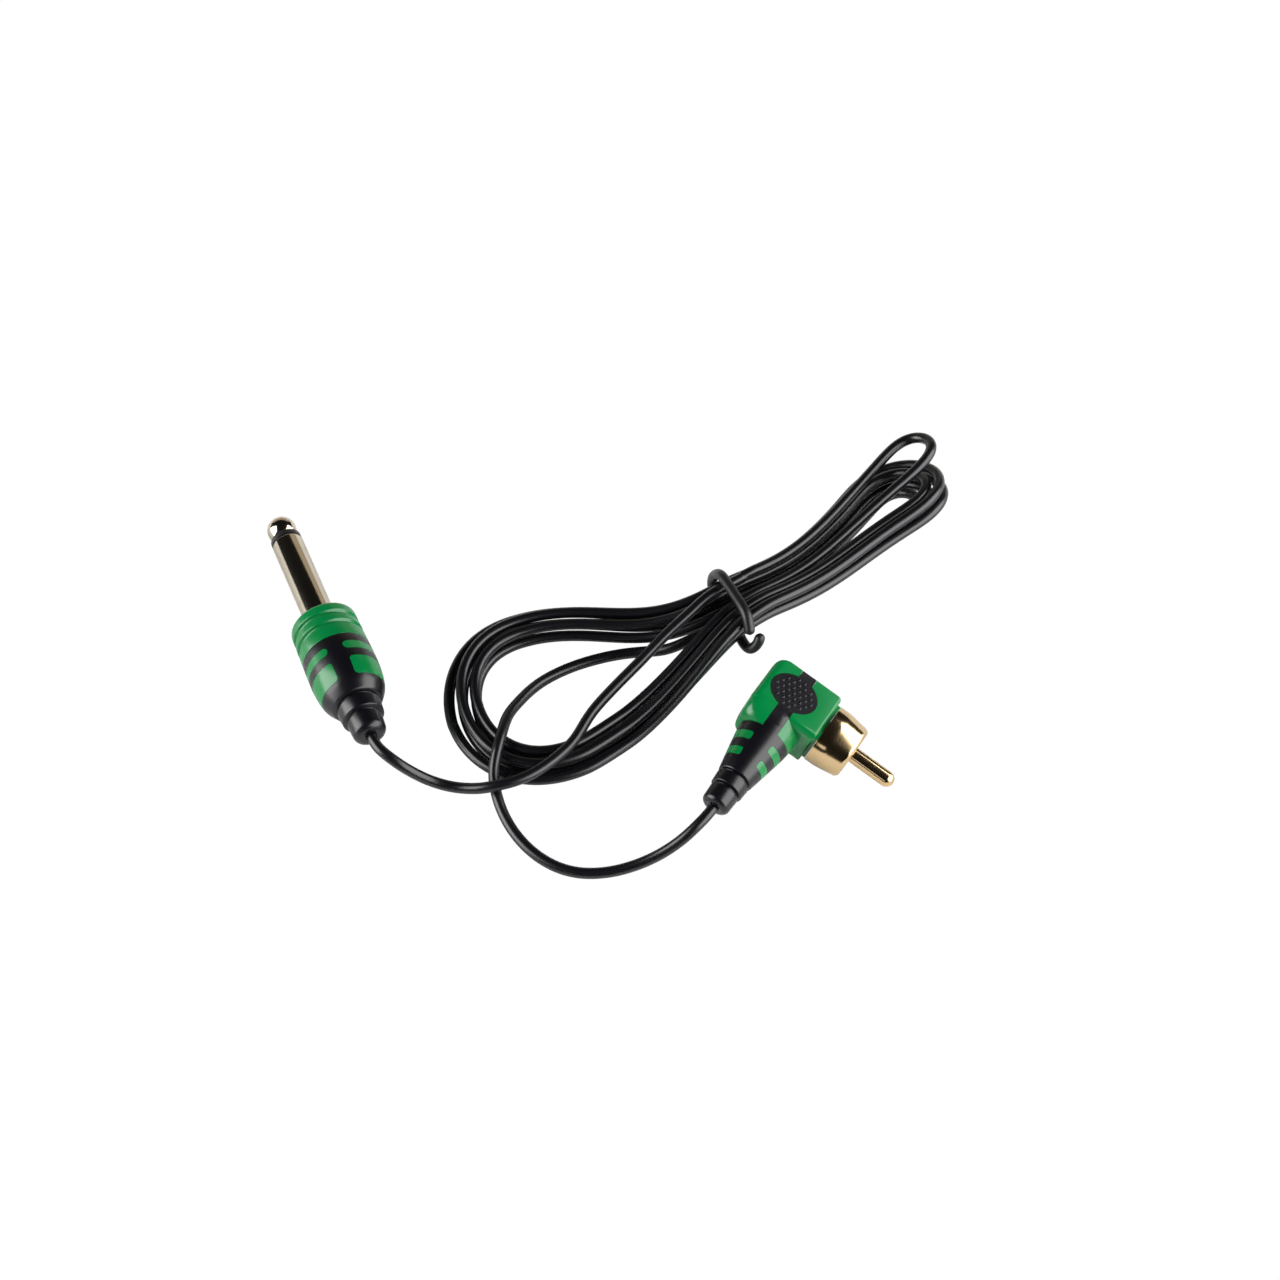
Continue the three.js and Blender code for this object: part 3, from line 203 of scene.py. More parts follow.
class GroupPen(NodePen):
    """Draws a shader node group that puts out a colour, a roughness and a height."""

    def __init__(self, name: str, colours: Sequence[str], numbers: Sequence[str],
                 vectors: Sequence[str] = ()) -> None:
        """Starts a group.

        Args:
            name: The group's name.
            colours: The names of its colour inputs.
            numbers: The names of its number inputs.
            vectors: The names of its vector inputs.
        """
        super().__init__(bpy.data.node_groups.new(name, "ShaderNodeTree"))
        for way, kind, names in (
            ("INPUT", "NodeSocketColor", colours), ("INPUT", "NodeSocketVector", vectors),
            ("INPUT", "NodeSocketFloat", numbers), ("OUTPUT", "NodeSocketColor", ("Colour",)),
            ("OUTPUT", "NodeSocketFloat", ("Roughness", "Height")),
        ):
            for socket in names:
                self.tree.interface.new_socket(name=socket, in_out=way, socket_type=kind)
        self.given = self.add("NodeGroupInput").outputs

    def finish(self, **results: NodeSocket) -> NodeTree:
        """Links the three results by name and gives the group."""
        self.add("NodeGroupOutput", **results)
        return self.tree


class SurfaceGroups:
    """The shader node groups that several finishes share, each built once."""

    def __init__(self) -> None:
        """Builds all groups."""
        self.moulded = self._moulded()
        self.turned = self._turned()
        self.drawn = self._drawn()

    @staticmethod
    def _moulded() -> NodeTree:
        """Draws moulded plastic: faint patches of shade, a fine grain and rubbed spots.

        Returns:
            The group.
        """
        pen = GroupPen("moulded_plastic", ("Base", "Shade"),
                       ("Grain Scale", "Gloss", "Gloss Spread", "Rubbed"))
        given = pen.given
        place = pen.add("ShaderNodeTexCoord").outputs["Object"]
        patches = pen.noise(Vector=place, Scale=160.0, Detail=3.0, Roughness=0.6)
        grain = pen.noise(Vector=place, Scale=given["Grain Scale"], Detail=4.0, Roughness=0.65)
        rubs = pen.noise(Vector=place, Scale=420.0, Detail=5.0, Roughness=0.7)
        spread = pen.maths("MULTIPLY", pen.maths("SUBTRACT", patches, 0.5), given["Gloss Spread"])
        wear = pen.maths("MULTIPLY", pen.ramp(rubs, 0.62, 0.74), given["Rubbed"])
        return pen.finish(
            Colour=pen.blend(pen.ramp(patches, 0.35, 0.7), given["Base"], given["Shade"]),
            Roughness=pen.maths("ADD", pen.maths("ADD", given["Gloss"], spread), wear),
            Height=grain,
        )

    @staticmethod
    def _turned() -> NodeTree:
        """Draws turned and plated metal: rings round the piece's own axis, tarnish and marks.

        Returns:
            The group.
        """
        pen = GroupPen("turned_metal", ("Plating", "Tarnish"), ("Gloss", "Gloss Spread"),
                       ("Stretch",))
        given = pen.given
        place = pen.add("ShaderNodeAttribute", attribute_name=PLACE).outputs["Vector"]
        stretched = pen.add("ShaderNodeVectorMath", operation="MULTIPLY")
        pen.feed(stretched.inputs[0], place)
        pen.feed(stretched.inputs[1], given["Stretch"])
        rings = pen.noise(Vector=stretched.outputs[0], Scale=1.0, Detail=4.0, Roughness=0.7)
        stains = pen.noise(Vector=place, Scale=0.45, Detail=5.0, Roughness=0.65)
        marks = pen.noise(Vector=place, Scale=2.2, Detail=6.0, Roughness=0.75)
        stained = pen.ramp(stains, 0.5, 0.75, top=0.6)
        spread = pen.maths("MULTIPLY", pen.ramp(marks, 0.55, 0.8), given["Gloss Spread"])
        return pen.finish(
            Colour=pen.blend(stained, given["Plating"], given["Tarnish"]),
            Roughness=pen.maths("ADD", given["Gloss"], spread),
            Height=rings,
        )

    @staticmethod
    def _drawn() -> NodeTree:
        """Draws an extruded jacket: slow waves in the surface, fine specks of dust and dull spots.

        Returns:
            The group.
        """
        pen = GroupPen("drawn_jacket", ("Base", "Dust"), ("Gloss", "Gloss Spread"))
        given = pen.given
        place = pen.add("ShaderNodeTexCoord").outputs["Object"]
        waves = pen.noise(Vector=place, Scale=190.0, Detail=2.0, Roughness=0.5)
        specks = pen.noise(Vector=place, Scale=2600.0, Detail=3.0, Roughness=0.6)
        spread = pen.maths("MULTIPLY", waves, given["Gloss Spread"])
        return pen.finish(
            Colour=pen.blend(pen.ramp(specks, 0.6, 0.78), given["Base"], given["Dust"]),
            Roughness=pen.maths("ADD", given["Gloss"], spread),
            Height=pen.maths("ADD", waves, pen.maths("MULTIPLY", specks, 0.12)),
        )


def dressed(name: str, group: NodeTree, inputs: dict[str, object], bump: Size,
            **sockets: float) -> Material:
    """Makes a material from a surface group and one Principled shader.

    Args:
        name: The material's name.
        group: The surface group.
        inputs: The group's input values.
        bump: The Bump node's strength and distance in metres.
        sockets: Values set on the shader's own sockets.

    Returns:
        The material.
    """
    material = bpy.data.materials.new(name)
    material.use_nodes = True
    pen = NodePen(material.node_tree)
    surface = pen.add("ShaderNodeGroup", node_tree=group)
    for socket, value in inputs.items():
        is_colour = surface.inputs[socket].type == "RGBA"
        surface.inputs[socket].default_value = (*value, 1.0) if is_colour else value
    results = surface.outputs
    relief = pen.add("ShaderNodeBump", Strength=bump[0], Distance=bump[1],
                     Height=results["Height"])
    shader = pen.add("ShaderNodeBsdfPrincipled", Base_Color=results["Colour"],
                     Roughness=results["Roughness"], Normal=relief.outputs["Normal"], **sockets)
    pen.add("ShaderNodeOutputMaterial", Surface=shader.outputs["BSDF"])
    return material


@dataclass(frozen=True)
class MouldedFinish:
    """A moulded plastic or rubber."""

    name: str
    base: Colour
    shade: Colour
    gloss: float
    grain_strength: float = 0.25
    grain_depth: float = 0.00002
    grain_scale: float = 4200.0
    gloss_spread: float = 0.12
    rubbed: float = 0.08
    ior: float = 1.5

    def material(self, groups: SurfaceGroups) -> Material:
        """Makes the material from the shared groups.

        Args:
            groups: The shared node groups.

        Returns:
            The material.
        """
        values = {
            "Base": self.base, "Shade": self.shade, "Grain Scale": self.grain_scale,
            "Gloss": self.gloss, "Gloss Spread": self.gloss_spread, "Rubbed": self.rubbed,
        }
        bump = (self.grain_strength, self.grain_depth)
        return dressed(self.name, groups.moulded, values, bump, IOR=self.ior)


@dataclass(frozen=True)
class PlatedFinish:
    """A turned metal with its plating."""

    name: str
    plating: Colour
    tarnish: Colour
    gloss: float
    stretch: Point = (0.1, 9.0, 0.1)
    gloss_spread: float = 0.1
    bump: Size = (0.1, 0.00001)

    def material(self, groups: SurfaceGroups) -> Material:
        """Makes the material from the shared groups.

        Args:
            groups: The shared node groups.

        Returns:
            The material.
        """
        values = {
            "Plating": self.plating, "Tarnish": self.tarnish, "Stretch": self.stretch,
            "Gloss": self.gloss, "Gloss Spread": self.gloss_spread,
        }
        return dressed(self.name, groups.turned, values, self.bump, Metallic=1.0)


@dataclass(frozen=True)
class JacketFinish:
    """The glossy jacket of the cable."""

    name: str = "glossy_jacket"
    base: Colour = (0.003, 0.0032, 0.0048)
    dust: Colour = (0.006, 0.0062, 0.008)
    gloss: float = 0.27
    gloss_spread: float = 0.06
    bump: Size = (0.12, 0.00004)
    ior: float = 1.54

    def material(self, groups: SurfaceGroups) -> Material:
        """Makes the material from the shared groups.

        Args:
            groups: The shared node groups.

        Returns:
            The material.
        """
        values = {
            "Base": self.base, "Dust": self.dust,
            "Gloss": self.gloss, "Gloss Spread": self.gloss_spread,
        }
        return dressed(self.name, groups.drawn, values, self.bump, IOR=self.ior)


class Finishes:
    """Every material of the part, by its slot in the record."""

    ALONG_X: Point = (9.0, 0.1, 0.1)
    RECIPES: dict[Slot, MouldedFinish | PlatedFinish | JacketFinish] = {
        Slot.GREEN: MouldedFinish(
            "green_plastic", (0.0, 0.188, 0.043), (0.0, 0.174, 0.039), 0.24, 0.12),
        Slot.BLACK: MouldedFinish(
            "soft_black_plastic", (0.003, 0.003, 0.0052), (0.0022, 0.0022, 0.004), 0.3, 0.35),
        Slot.JACKET: JacketFinish(),
        Slot.TIE: MouldedFinish(
            "tie_rubber", (0.006, 0.006, 0.007), (0.0045, 0.0045, 0.0055), 0.4, 0.3),
        Slot.PALE_GOLD: PlatedFinish("pale_gold", (0.64, 0.57, 0.46), (0.5, 0.42, 0.28), 0.12),
        Slot.RICH_GOLD: PlatedFinish(
            "rich_gold", (0.66, 0.48, 0.26), (0.56, 0.39, 0.2), 0.15, ALONG_X),
        Slot.INSULATOR_BLACK: MouldedFinish(
            "black_insulator", (0.012, 0.012, 0.012), (0.009, 0.009, 0.009), 0.35),
        Slot.INSULATOR_WHITE: MouldedFinish(
            "white_insulator", (0.7, 0.68, 0.62), (0.64, 0.62, 0.56), 0.45),
        Slot.STEEL: PlatedFinish("tinned_steel", (0.55, 0.55, 0.54), (0.42, 0.42, 0.42), 0.3),
        Slot.SOLDER: PlatedFinish("solder", (0.6, 0.6, 0.62), (0.5, 0.5, 0.52), 0.25),
        Slot.COPPER: PlatedFinish("copper", (0.8, 0.42, 0.26), (0.5, 0.26, 0.17), 0.3),
    }

    def __init__(self) -> None:
        """Builds the groups and the materials."""
        groups = SurfaceGroups()
        self.materials = {slot: recipe.material(groups) for slot, recipe in self.RECIPES.items()}

    def of(self, slot: Slot) -> Material:
        """Gives the material of a slot."""
        return self.materials[slot]

    def dress_frame(self, frame: dict) -> None:
        """Gives every CAD node its material.
        """
        for slot, names in SLOT_NODES.items():
            for name in names:
                materials = frame["nodes"][name].data.materials
                materials.clear()
                materials.append(self.of(slot))


# ------------------------------------------------------------------ mesh tools


def put(name: str, data: ID) -> Object:
    """Puts a mesh, curve, light or camera in the scene.

    Args:
        name: The object's name.
        data: What it shows.

    Returns:
        The object.
    """
    thing = bpy.data.objects.new(name, data)
    bpy.context.scene.collection.objects.link(thing)
    return thing


def as_mesh(name: str, shape: BMesh) -> Mesh:
    """Copies a shape to a new mesh.

    Args:
        name: The mesh's name.
        shape: The shape.

    Returns:
        The mesh.
    """
    mesh = bpy.data.meshes.new(name)
    shape.to_mesh(mesh)
    return mesh


@dataclass(frozen=True)
class Corner:
    """A corner of a turned profile: its radius, its height and how round it is. Millimetres."""

    radius: float
    height: float
    round: float = 0.0


def corners(*rows: tuple[float, ...]) -> tuple[Corner, ...]:
    """Gives the corners that rows of a radius, a height and a roundness stand for."""
    return tuple(Corner(*row) for row in rows)


def ball_outline(radius: float, middle: float, angle: float, steps: int) -> tuple[Corner, ...]:
    """Gives the outline of a ball on the axis, from its pole through an angle."""
    turns = [angle * i / steps for i in range(steps + 1)]
    return corners(*((radius * math.sin(turn), middle + radius * math.cos(turn)) for turn in turns))


class Shaping:
    """Mesh shapes that the plugs are made of, in millimetres in a plug's own frame."""

    MERGE = 1e-4
    SLIVER = 1e-5
    FINE = 144

    @staticmethod
    def rounded(shape: BMesh, parts: Sequence[BMEdge | BMVert], offset: float,
                segments: int = 6) -> None:
        """Rounds edges of a solid, or the corners of a line or sheet.

        Args:
            shape: What is rounded.
            parts: The edges or the corners.
            offset: How far from each the round starts.
            segments: The steps of the round.
        """
        flat = isinstance(parts[0], BMVert)
        bmesh.ops.bevel(shape, geom=parts, offset=offset, offset_type="OFFSET", segments=segments,
                        profile=0.5, affect="VERTICES" if flat else "EDGES", material=-1,
                        clamp_overlap=flat)

    @staticmethod
    def cleaned(shape: BMesh) -> BMesh:
        """Merges doubles and clears slivers.

        Args:
            shape: The mesh.

        Returns:
            The same mesh.
        """
        bmesh.ops.remove_doubles(shape, verts=shape.verts[:], dist=Shaping.MERGE)
        bmesh.ops.dissolve_degenerate(shape, dist=Shaping.SLIVER, edges=shape.edges[:])
        return shape

    @staticmethod
    def turned(profile: Sequence[Corner], sides: int = 96, hollow: bool = False) -> BMesh:
        """Turns a profile about +Y.

        Args:
            profile: Its corners in order.
            sides: The steps of the turn.
            hollow: Whether the profile closes on itself, as a ring's does.

        Returns:
            The closed shape.
        """
        shape = bmesh.new()
        points = [shape.verts.new((corner.radius, corner.height, 0.0)) for corner in profile]
        for first, second in zip(points, points[1:]):
            shape.edges.new((first, second))
        if hollow:
            shape.edges.new((points[-1], points[0]))
        rounds: dict[float, list[BMVert]] = {}
        for point, corner in zip(points, profile):
            if corner.round > 0:
                rounds.setdefault(corner.round, []).append(point)
        for offset, rounded in rounds.items():
            Shaping.rounded(shape, rounded, offset)
        bmesh.ops.spin(shape, geom=shape.verts[:] + shape.edges[:], cent=(0, 0, 0),
                       axis=(0, 1, 0), angle=2 * math.pi, steps=sides, use_merge=True,
                       use_duplicate=False)
        Shaping.cleaned(shape)
        bmesh.ops.recalc_face_normals(shape, faces=shape.faces[:])
        return shape

    @staticmethod
    def ring(bore: float, radius: float, low: float, high: float, top_round: float) -> BMesh:
        """Makes a ring about +Y between two heights, round at its upper outer edge."""
        return Shaping.turned(corners((bore, low), (radius, low), (radius, high, top_round),
                                      (bore, high)), hollow=True)

    @staticmethod
    def moved(shape: BMesh, matrix: Matrix) -> BMesh:
        """Moves a shape and gives it back."""
        bmesh.ops.transform(shape, matrix=matrix, verts=shape.verts[:])
        return shape

    @staticmethod
    def block(low: Sequence[float], high: Sequence[float]) -> BMesh:
        """Makes a block.

        Args:
            low: Its lowest corner.
            high: Its highest corner.

        Returns:
            The block.
        """
        shape = bmesh.new()
        bmesh.ops.create_cube(shape, size=1.0)
        size = Vector(high) - Vector(low)
        middle = (Vector(high) + Vector(low)) / 2
        return Shaping.moved(shape, Matrix.Translation(middle) @ Matrix.Diagonal((*size, 1.0)))

    @staticmethod
    def oval_post(middle: float, length: float, width: float, height: float) -> BMesh:
        """Makes an oval post along Z.

        Args:
            middle: Where its axis is along X.
            length: Its size along X.
            width: Its size along Y.
            height: Its size along Z.

        Returns:
            The closed shape.
        """
        shape = bmesh.new()
        bmesh.ops.create_cone(shape, cap_ends=True, segments=96, radius1=0.5, radius2=0.5,
                              depth=1.0)
        scale = Matrix.Diagonal((length, width, height, 1.0))
        return Shaping.moved(shape, Matrix.Translation((middle, 0, 0)) @ scale)

    @staticmethod
    def joined(shapes: Sequence[BMesh]) -> BMesh:
        """Puts several shapes in one mesh, each still closed by itself.

        Args:
            shapes: The shapes.

        Returns:
            All of them.
        """
        whole = bmesh.new()
        for shape in shapes:
            mesh = as_mesh("part", shape)
            whole.from_mesh(mesh)
            bpy.data.meshes.remove(mesh)
        return whole

    @staticmethod
    def carved(base: BMesh, tool: BMesh, way: Carve) -> BMesh:
        """Joins, cuts or keeps one solid with another.

        Args:
            base: The solid that is worked on.
            tool: The other solid.
            way: What happens where they meet.

        Returns:
            The new solid.
        """
        worked, other = (put(name, as_mesh(name, shape))
                         for name, shape in (("base", base), ("tool", tool)))
        modifier = worked.modifiers.new("carve", "BOOLEAN")
        modifier.operation = way.value
        modifier.solver = "EXACT"
        modifier.object = other
        result = bmesh.new()
        evaluated = worked.evaluated_get(bpy.context.evaluated_depsgraph_get())
        result.from_mesh(evaluated.to_mesh())
        evaluated.to_mesh_clear()
        for holder in (worked, other):
            mesh = holder.data
            bpy.data.objects.remove(holder)
            bpy.data.meshes.remove(mesh)
        return Shaping.cleaned(result)


@dataclass(frozen=True)
class WindowRow:
    """A pair of windows in an overmould, one on each side of its spine. Millimetres, degrees."""

    start: float
    end: float
    spine: float
    corner: float
    far_angle: float = 166.0
    steps: int = 64
    proud: float = 2.0
    fullest: float = 0.49

    def cutter(self, side: int, radius: float, inner: float, shrink: float) -> BMesh:
        """Makes a block through the skin, bent round the Y axis.

        Args:
            side: 1 or -1, the side of the spine.
            radius: The skin's radius, on which lengths are true.
            inner: How near the axis the block reaches.
            shrink: How much smaller than the window it is on every side.

        Returns:
            The closed block.
        """
        first = radius * math.radians(self.spine) + shrink
        last = radius * math.radians(self.far_angle) - shrink
        width = self.end - self.start - 2 * shrink
        sheet = bmesh.new()
        middle = Vector(((first + last) / 2, -(self.start + self.end) / 2, 0))
        bmesh.ops.create_grid(sheet, x_segments=1, y_segments=1, size=0.5)
        Shaping.moved(sheet, Matrix.Translation(middle)
                      @ Matrix.Diagonal((last - first, width, 1, 1)))
        corner = min(self.corner, self.fullest * width + shrink) - shrink
        Shaping.rounded(sheet, sheet.verts[:], corner, 8)
        for i in range(1, self.steps):
            bmesh.ops.bisect_plane(
                sheet, geom=sheet.verts[:] + sheet.edges[:] + sheet.faces[:],
                dist=Shaping.SLIVER, plane_no=(1, 0, 0),
                plane_co=(first + (last - first) * i / self.steps, 0, 0))
        grown = bmesh.ops.extrude_face_region(sheet, geom=sheet.faces[:])["geom"]
        raised = {item for item in grown if isinstance(item, BMVert)}
        for vert in sheet.verts:
            reach = radius + self.proud if vert in raised else inner
            angle = side * vert.co.x / radius
            vert.co = Vector((reach * math.sin(angle), vert.co.y, reach * math.cos(angle)))
        bmesh.ops.recalc_face_normals(sheet, faces=sheet.faces[:])
        return sheet


@dataclass(frozen=True)
class Windows:
    """All windows of an overmould and the green bosses that fill them. Millimetres."""

    rows: tuple[WindowRow, ...]
    radius: float
    inner: float
    seam: float = 0.05
    boss_clear: float = 0.2

    def cut(self, skin: BMesh, dark: BMesh, axis: float = 0.0) -> tuple[list[BMesh], BMesh]:
        """Cuts the windows and makes the bosses.

        Args:
            skin: The overmould's whole outside as a solid.
            dark: Its black part.
            axis: Where the axis that the windows bend round is along X.

        Returns:
            The bosses, and the black part with its windows.
        """
        bosses = []
        place = Matrix.Translation((axis, 0, 0))
        for row in self.rows:
            for side in (1, -1):
                boss = row.cutter(side, self.radius, self.inner + self.boss_clear, self.seam)
                bosses.append(Shaping.carved(skin, Shaping.moved(boss, place), Carve.KEEP))
                whole = row.cutter(side, self.radius, self.inner, 0.0)
                dark = Shaping.carved(dark, Shaping.moved(whole, place), Carve.CUT)
        return bosses, dark


@dataclass
class Bench:
    """Where finished pieces are made: it knows the finishes, and reports each piece."""

    finishes: Finishes
    crease: float = math.radians(32.0)
    pieces: list[Object] = field(default_factory=list)

    def place(self, name: str, shape: BMesh, slot: Slot, matrix: Matrix, node: str) -> Object:
        """Turns a shape into a finished piece in the part's frame.

        Args:
            name: The piece's name.
            shape: Its mesh in millimetres in its own frame.
            slot: The record's material slot.
            matrix: From its own frame to the part's, in metres.
            node: The CAD node that it stands for.

        Returns:
            The piece.
        """
        mesh = as_mesh(name, shape)
        shape.free()
        places = mesh.attributes.new(PLACE, "FLOAT_VECTOR", "POINT")
        places.data.foreach_set("vector", [value for vert in mesh.vertices for value in vert.co])
        mesh.transform(matrix)
        mesh.shade_smooth()
        mesh.set_sharp_from_angle(angle=self.crease)
        return self._kept(put(name, mesh), slot, (node,))

    def wire(self, name: str, line: Sequence[Vector], diameter: float, resolution: int,
             slot: Slot, nodes: Sequence[str], fullness: Sequence[float] = ()) -> Object:
        """Makes a finished round wire along a line.

        Args:
            name: The piece's name.
            line: Its middle line in the part's frame, in millimetres.
            diameter: Its diameter in millimetres.
            resolution: How finely its round is stepped.
            slot: The record's material slot.
            nodes: The CAD nodes that it stands for.
            fullness: The share of its diameter that it has at each point, where that varies.

        Returns:
            The wire.
        """
        data = bpy.data.curves.new(name, "CURVE")
        data.dimensions = "3D"
        data.bevel_depth = diameter / 2 * MM
        data.bevel_resolution = resolution
        data.use_fill_caps = True
        spline = data.splines.new("POLY")
        spline.points.add(len(line) - 1)
        spline.points.foreach_set(
            "co", [value for point in line for value in (*(point * MM), 1.0)])
        if fullness:
            spline.points.foreach_set("radius", fullness)
        spline.use_smooth = True
        return self._kept(put(name, data), slot, nodes)

    def _kept(self, piece: Object, slot: Slot, nodes: Sequence[str]) -> Object:
        """Dresses a piece and puts it on the part's body.

        Args:
            piece: The piece.
            slot: Its material slot.
            nodes: The CAD nodes that it stands for.

        Returns:
            The piece.
        """
        piece.data.materials.append(self.finishes.of(slot))
        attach(piece, BODY)
        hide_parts(*nodes)
        self.pieces.append(piece)
        LOG.info("%s stands for %s", piece.name, ", ".join(nodes))
        return piece


# ------------------------------------------------------------------ camera and studio


@dataclass(frozen=True)
class Viewpoint:
    """The camera, at the photograph's viewing angle. Metres, and millimetres on the sensor."""

    place: Point = (0.013365, -0.318033, 0.503202)
    tilt: float = math.radians(33.0)
    lens: float = 84.375
    sensor: float = 36.0
    nearest: float = 0.01

    def build(self) -> None:
        """Makes the scene's camera."""
        data = bpy.data.cameras.new("camera")
        data.lens = self.lens
        data.sensor_width = self.sensor
        data.clip_start = self.nearest
        camera = put("camera", data)
        camera.location = self.place
        camera.rotation_euler = (self.tilt, 0.0, 0.0)
        bpy.context.scene.camera = camera


@dataclass(frozen=True)
class Softbox:
    """A soft light: where it is, what it points at, its size in metres and how bright it is."""

    name: str
    place: Point
    aim: Point
    size: Size
    brightness: float
    tint: Colour = (1.0, 1.0, 1.0)

    def build(self) -> None:
        """Makes the light."""
        data = bpy.data.lights.new(self.name, "AREA")
        data.shape = "RECTANGLE"
        data.color = self.tint
        data.size, data.size_y = self.size
        data.energy = self.brightness * math.pi * self.size[0] * self.size[1]
        light = put(self.name, data)
        light.location = self.place
        toward = Vector(self.aim) - Vector(self.place)
        light.rotation_euler = toward.to_track_quat("-Z", "Y").to_euler()
        light.visible_camera = False


@dataclass(frozen=True)
class Studio:
    """A pale table between two softboxes, in a dark room with a card behind and one in front.

    The camera sees the table as plain white, as in the photograph, and the part sees it as it
    is lit.
    """

    floor_size: float = 6.0
    floor_colour: Colour = (0.86, 0.86, 0.86)
    floor_white: float = 1.02
    surround: float = 0.01
    softboxes: tuple[Softbox, ...] = (
        Softbox("right", (0.395, -0.093, 0.215), (0.05, -0.02, 0.1), (0.74, 0.44), 5.0),
        Softbox("left", (-0.4, -0.065, 0.225), (0.0, -0.065, 0.225), (0.37, 0.44), 6.5),
        Softbox("back_card", (-0.18, 0.6, 0.14), (-0.18, 0.0, 0.14), (0.95, 0.26), 0.5,
                (1.0, 0.86, 0.66)),
        Softbox("front_card", (-0.19, -0.5, 0.18), (0.0, 0.0, 0.0), (0.12, 0.1), 1.2),
    )

    def _floor_material(self) -> Material:
        """Makes the table's material.

        Returns:
            The material.
        """
        material = bpy.data.materials.new("pale_floor")
        material.use_nodes = True
        pen = NodePen(material.node_tree)
        table = pen.add("ShaderNodeBsdfDiffuse", Color=(*self.floor_colour, 1.0))
        plain = pen.add("ShaderNodeEmission", Strength=self.floor_white)
        seen = pen.add("ShaderNodeLightPath").outputs["Is Camera Ray"]
        either = pen.add("ShaderNodeMixShader", Fac=seen)
        pen.feed(either.inputs[1], table.outputs["BSDF"])
        pen.feed(either.inputs[2], plain.outputs["Emission"])
        pen.add("ShaderNodeOutputMaterial", Surface=either.outputs["Shader"])
        return material

    def build(self) -> None:
        """Makes the table, the surround and the lights."""
        shape = bmesh.new()
        bmesh.ops.create_grid(shape, x_segments=1, y_segments=1, size=self.floor_size / 2)
        floor = put("floor", as_mesh("floor", shape))
        shape.free()
        floor.data.materials.append(self._floor_material())
        scene = bpy.context.scene
        scene.world = bpy.data.worlds.new("surround")
        scene.world.use_nodes = True
        background = scene.world.node_tree.nodes["Background"]
        background.inputs["Color"].default_value = (1.0, 1.0, 1.0, 1.0)
        background.inputs["Strength"].default_value = self.surround
        for softbox in self.softboxes:
            softbox.build()
        scene.view_settings.view_transform = "Standard"
        scene.view_settings.look = "None"


# ------------------------------------------------------------------ cable


def smooth_line(points: Sequence[Vector], step: float, passes: int = 16) -> list[Vector]:
    """Draws a smooth line through points: a centripetal spline, then relaxed a little.

    Args:
        points: The points that it goes through.
        step: The distance between the points that come back.
        passes: How often each point is drawn towards its neighbours.

    Returns:
        Points on the line.
    """
    line: list[Vector] = []
    padded = [2 * points[0] - points[1], *points, 2 * points[-1] - points[-2]]
    for before, start, end, after in zip(padded, padded[1:], padded[2:], padded[3:]):
        knots = [math.sqrt(max((b - a).length, 1e-9))
                 for a, b in ((before, start), (start, end), (end, after))]
        enter = ((start - before) / knots[0] - (end - before) / (knots[0] + knots[1])
                 + (end - start) / knots[1]) * knots[1]
        leave = ((end - start) / knots[1] - (after - start) / (knots[1] + knots[2])
                 + (after - end) / knots[2]) * knots[1]
        count = max(1, round((end - start).length / step))
        for i in range(count):
            t = i / count
            line.append(start * (2 * t ** 3 - 3 * t ** 2 + 1) + enter * (t ** 3 - 2 * t ** 2 + t)
                        + end * (3 * t ** 2 - 2 * t ** 3) + leave * (t ** 3 - t ** 2))
    line.append(points[-1].copy())
    for _ in range(passes):
        inner = [(before + 2 * here + after) / 4
                 for before, here, after in zip(line, line[1:], line[2:])]
        line = [line[0], *inner, line[-1]]
    return line


def share_of(value: float, low: float, high: float) -> float:
    """Gives how far a value has gone from low to high, from 0 to 1."""
    return min(1.0, max(0.0, (value - low) / (high - low)))


def eased(value: float, low: float, high: float) -> float:
    """Rises smoothly from 0 at one value to 1 at another."""
    share = share_of(value, low, high)
    return share * share * (3 - 2 * share)


@dataclass(frozen=True)
class Lobe:
    """One end of the hank: how far it reaches from the tie and how wide it opens. Millimetres."""

    reach: float
    half_width: float
    taper: float
    bluntness: float

    def bulge(self, share: float) -> float:
        """Gives the half width at a share of the reach.

        Args:
            share: The share, from 0 at the tie to 1 at the end.

        Returns:
            The half width.
        """
        widest = self.taper / (self.taper + self.bluntness / 2)
        peak = widest ** (self.taper / self.bluntness) * math.sqrt(1 - widest)
        blunt = math.sqrt(max(0.0, 1 - share ** self.bluntness))
        return self.half_width / peak * share ** self.taper * blunt


@dataclass(frozen=True)
class Sway:
    """A stretch over which the hank's middle line leaves its arc to the left. Millimetres."""

    offset: float
    start: float
    end: float

    def slope(self, along: float) -> float:
        """Gives how steeply the line leaves the arc at a distance along it."""
        share = share_of(along, self.start, self.end)
        return self.offset * 6 * share * (1 - share) / (self.end - self.start)


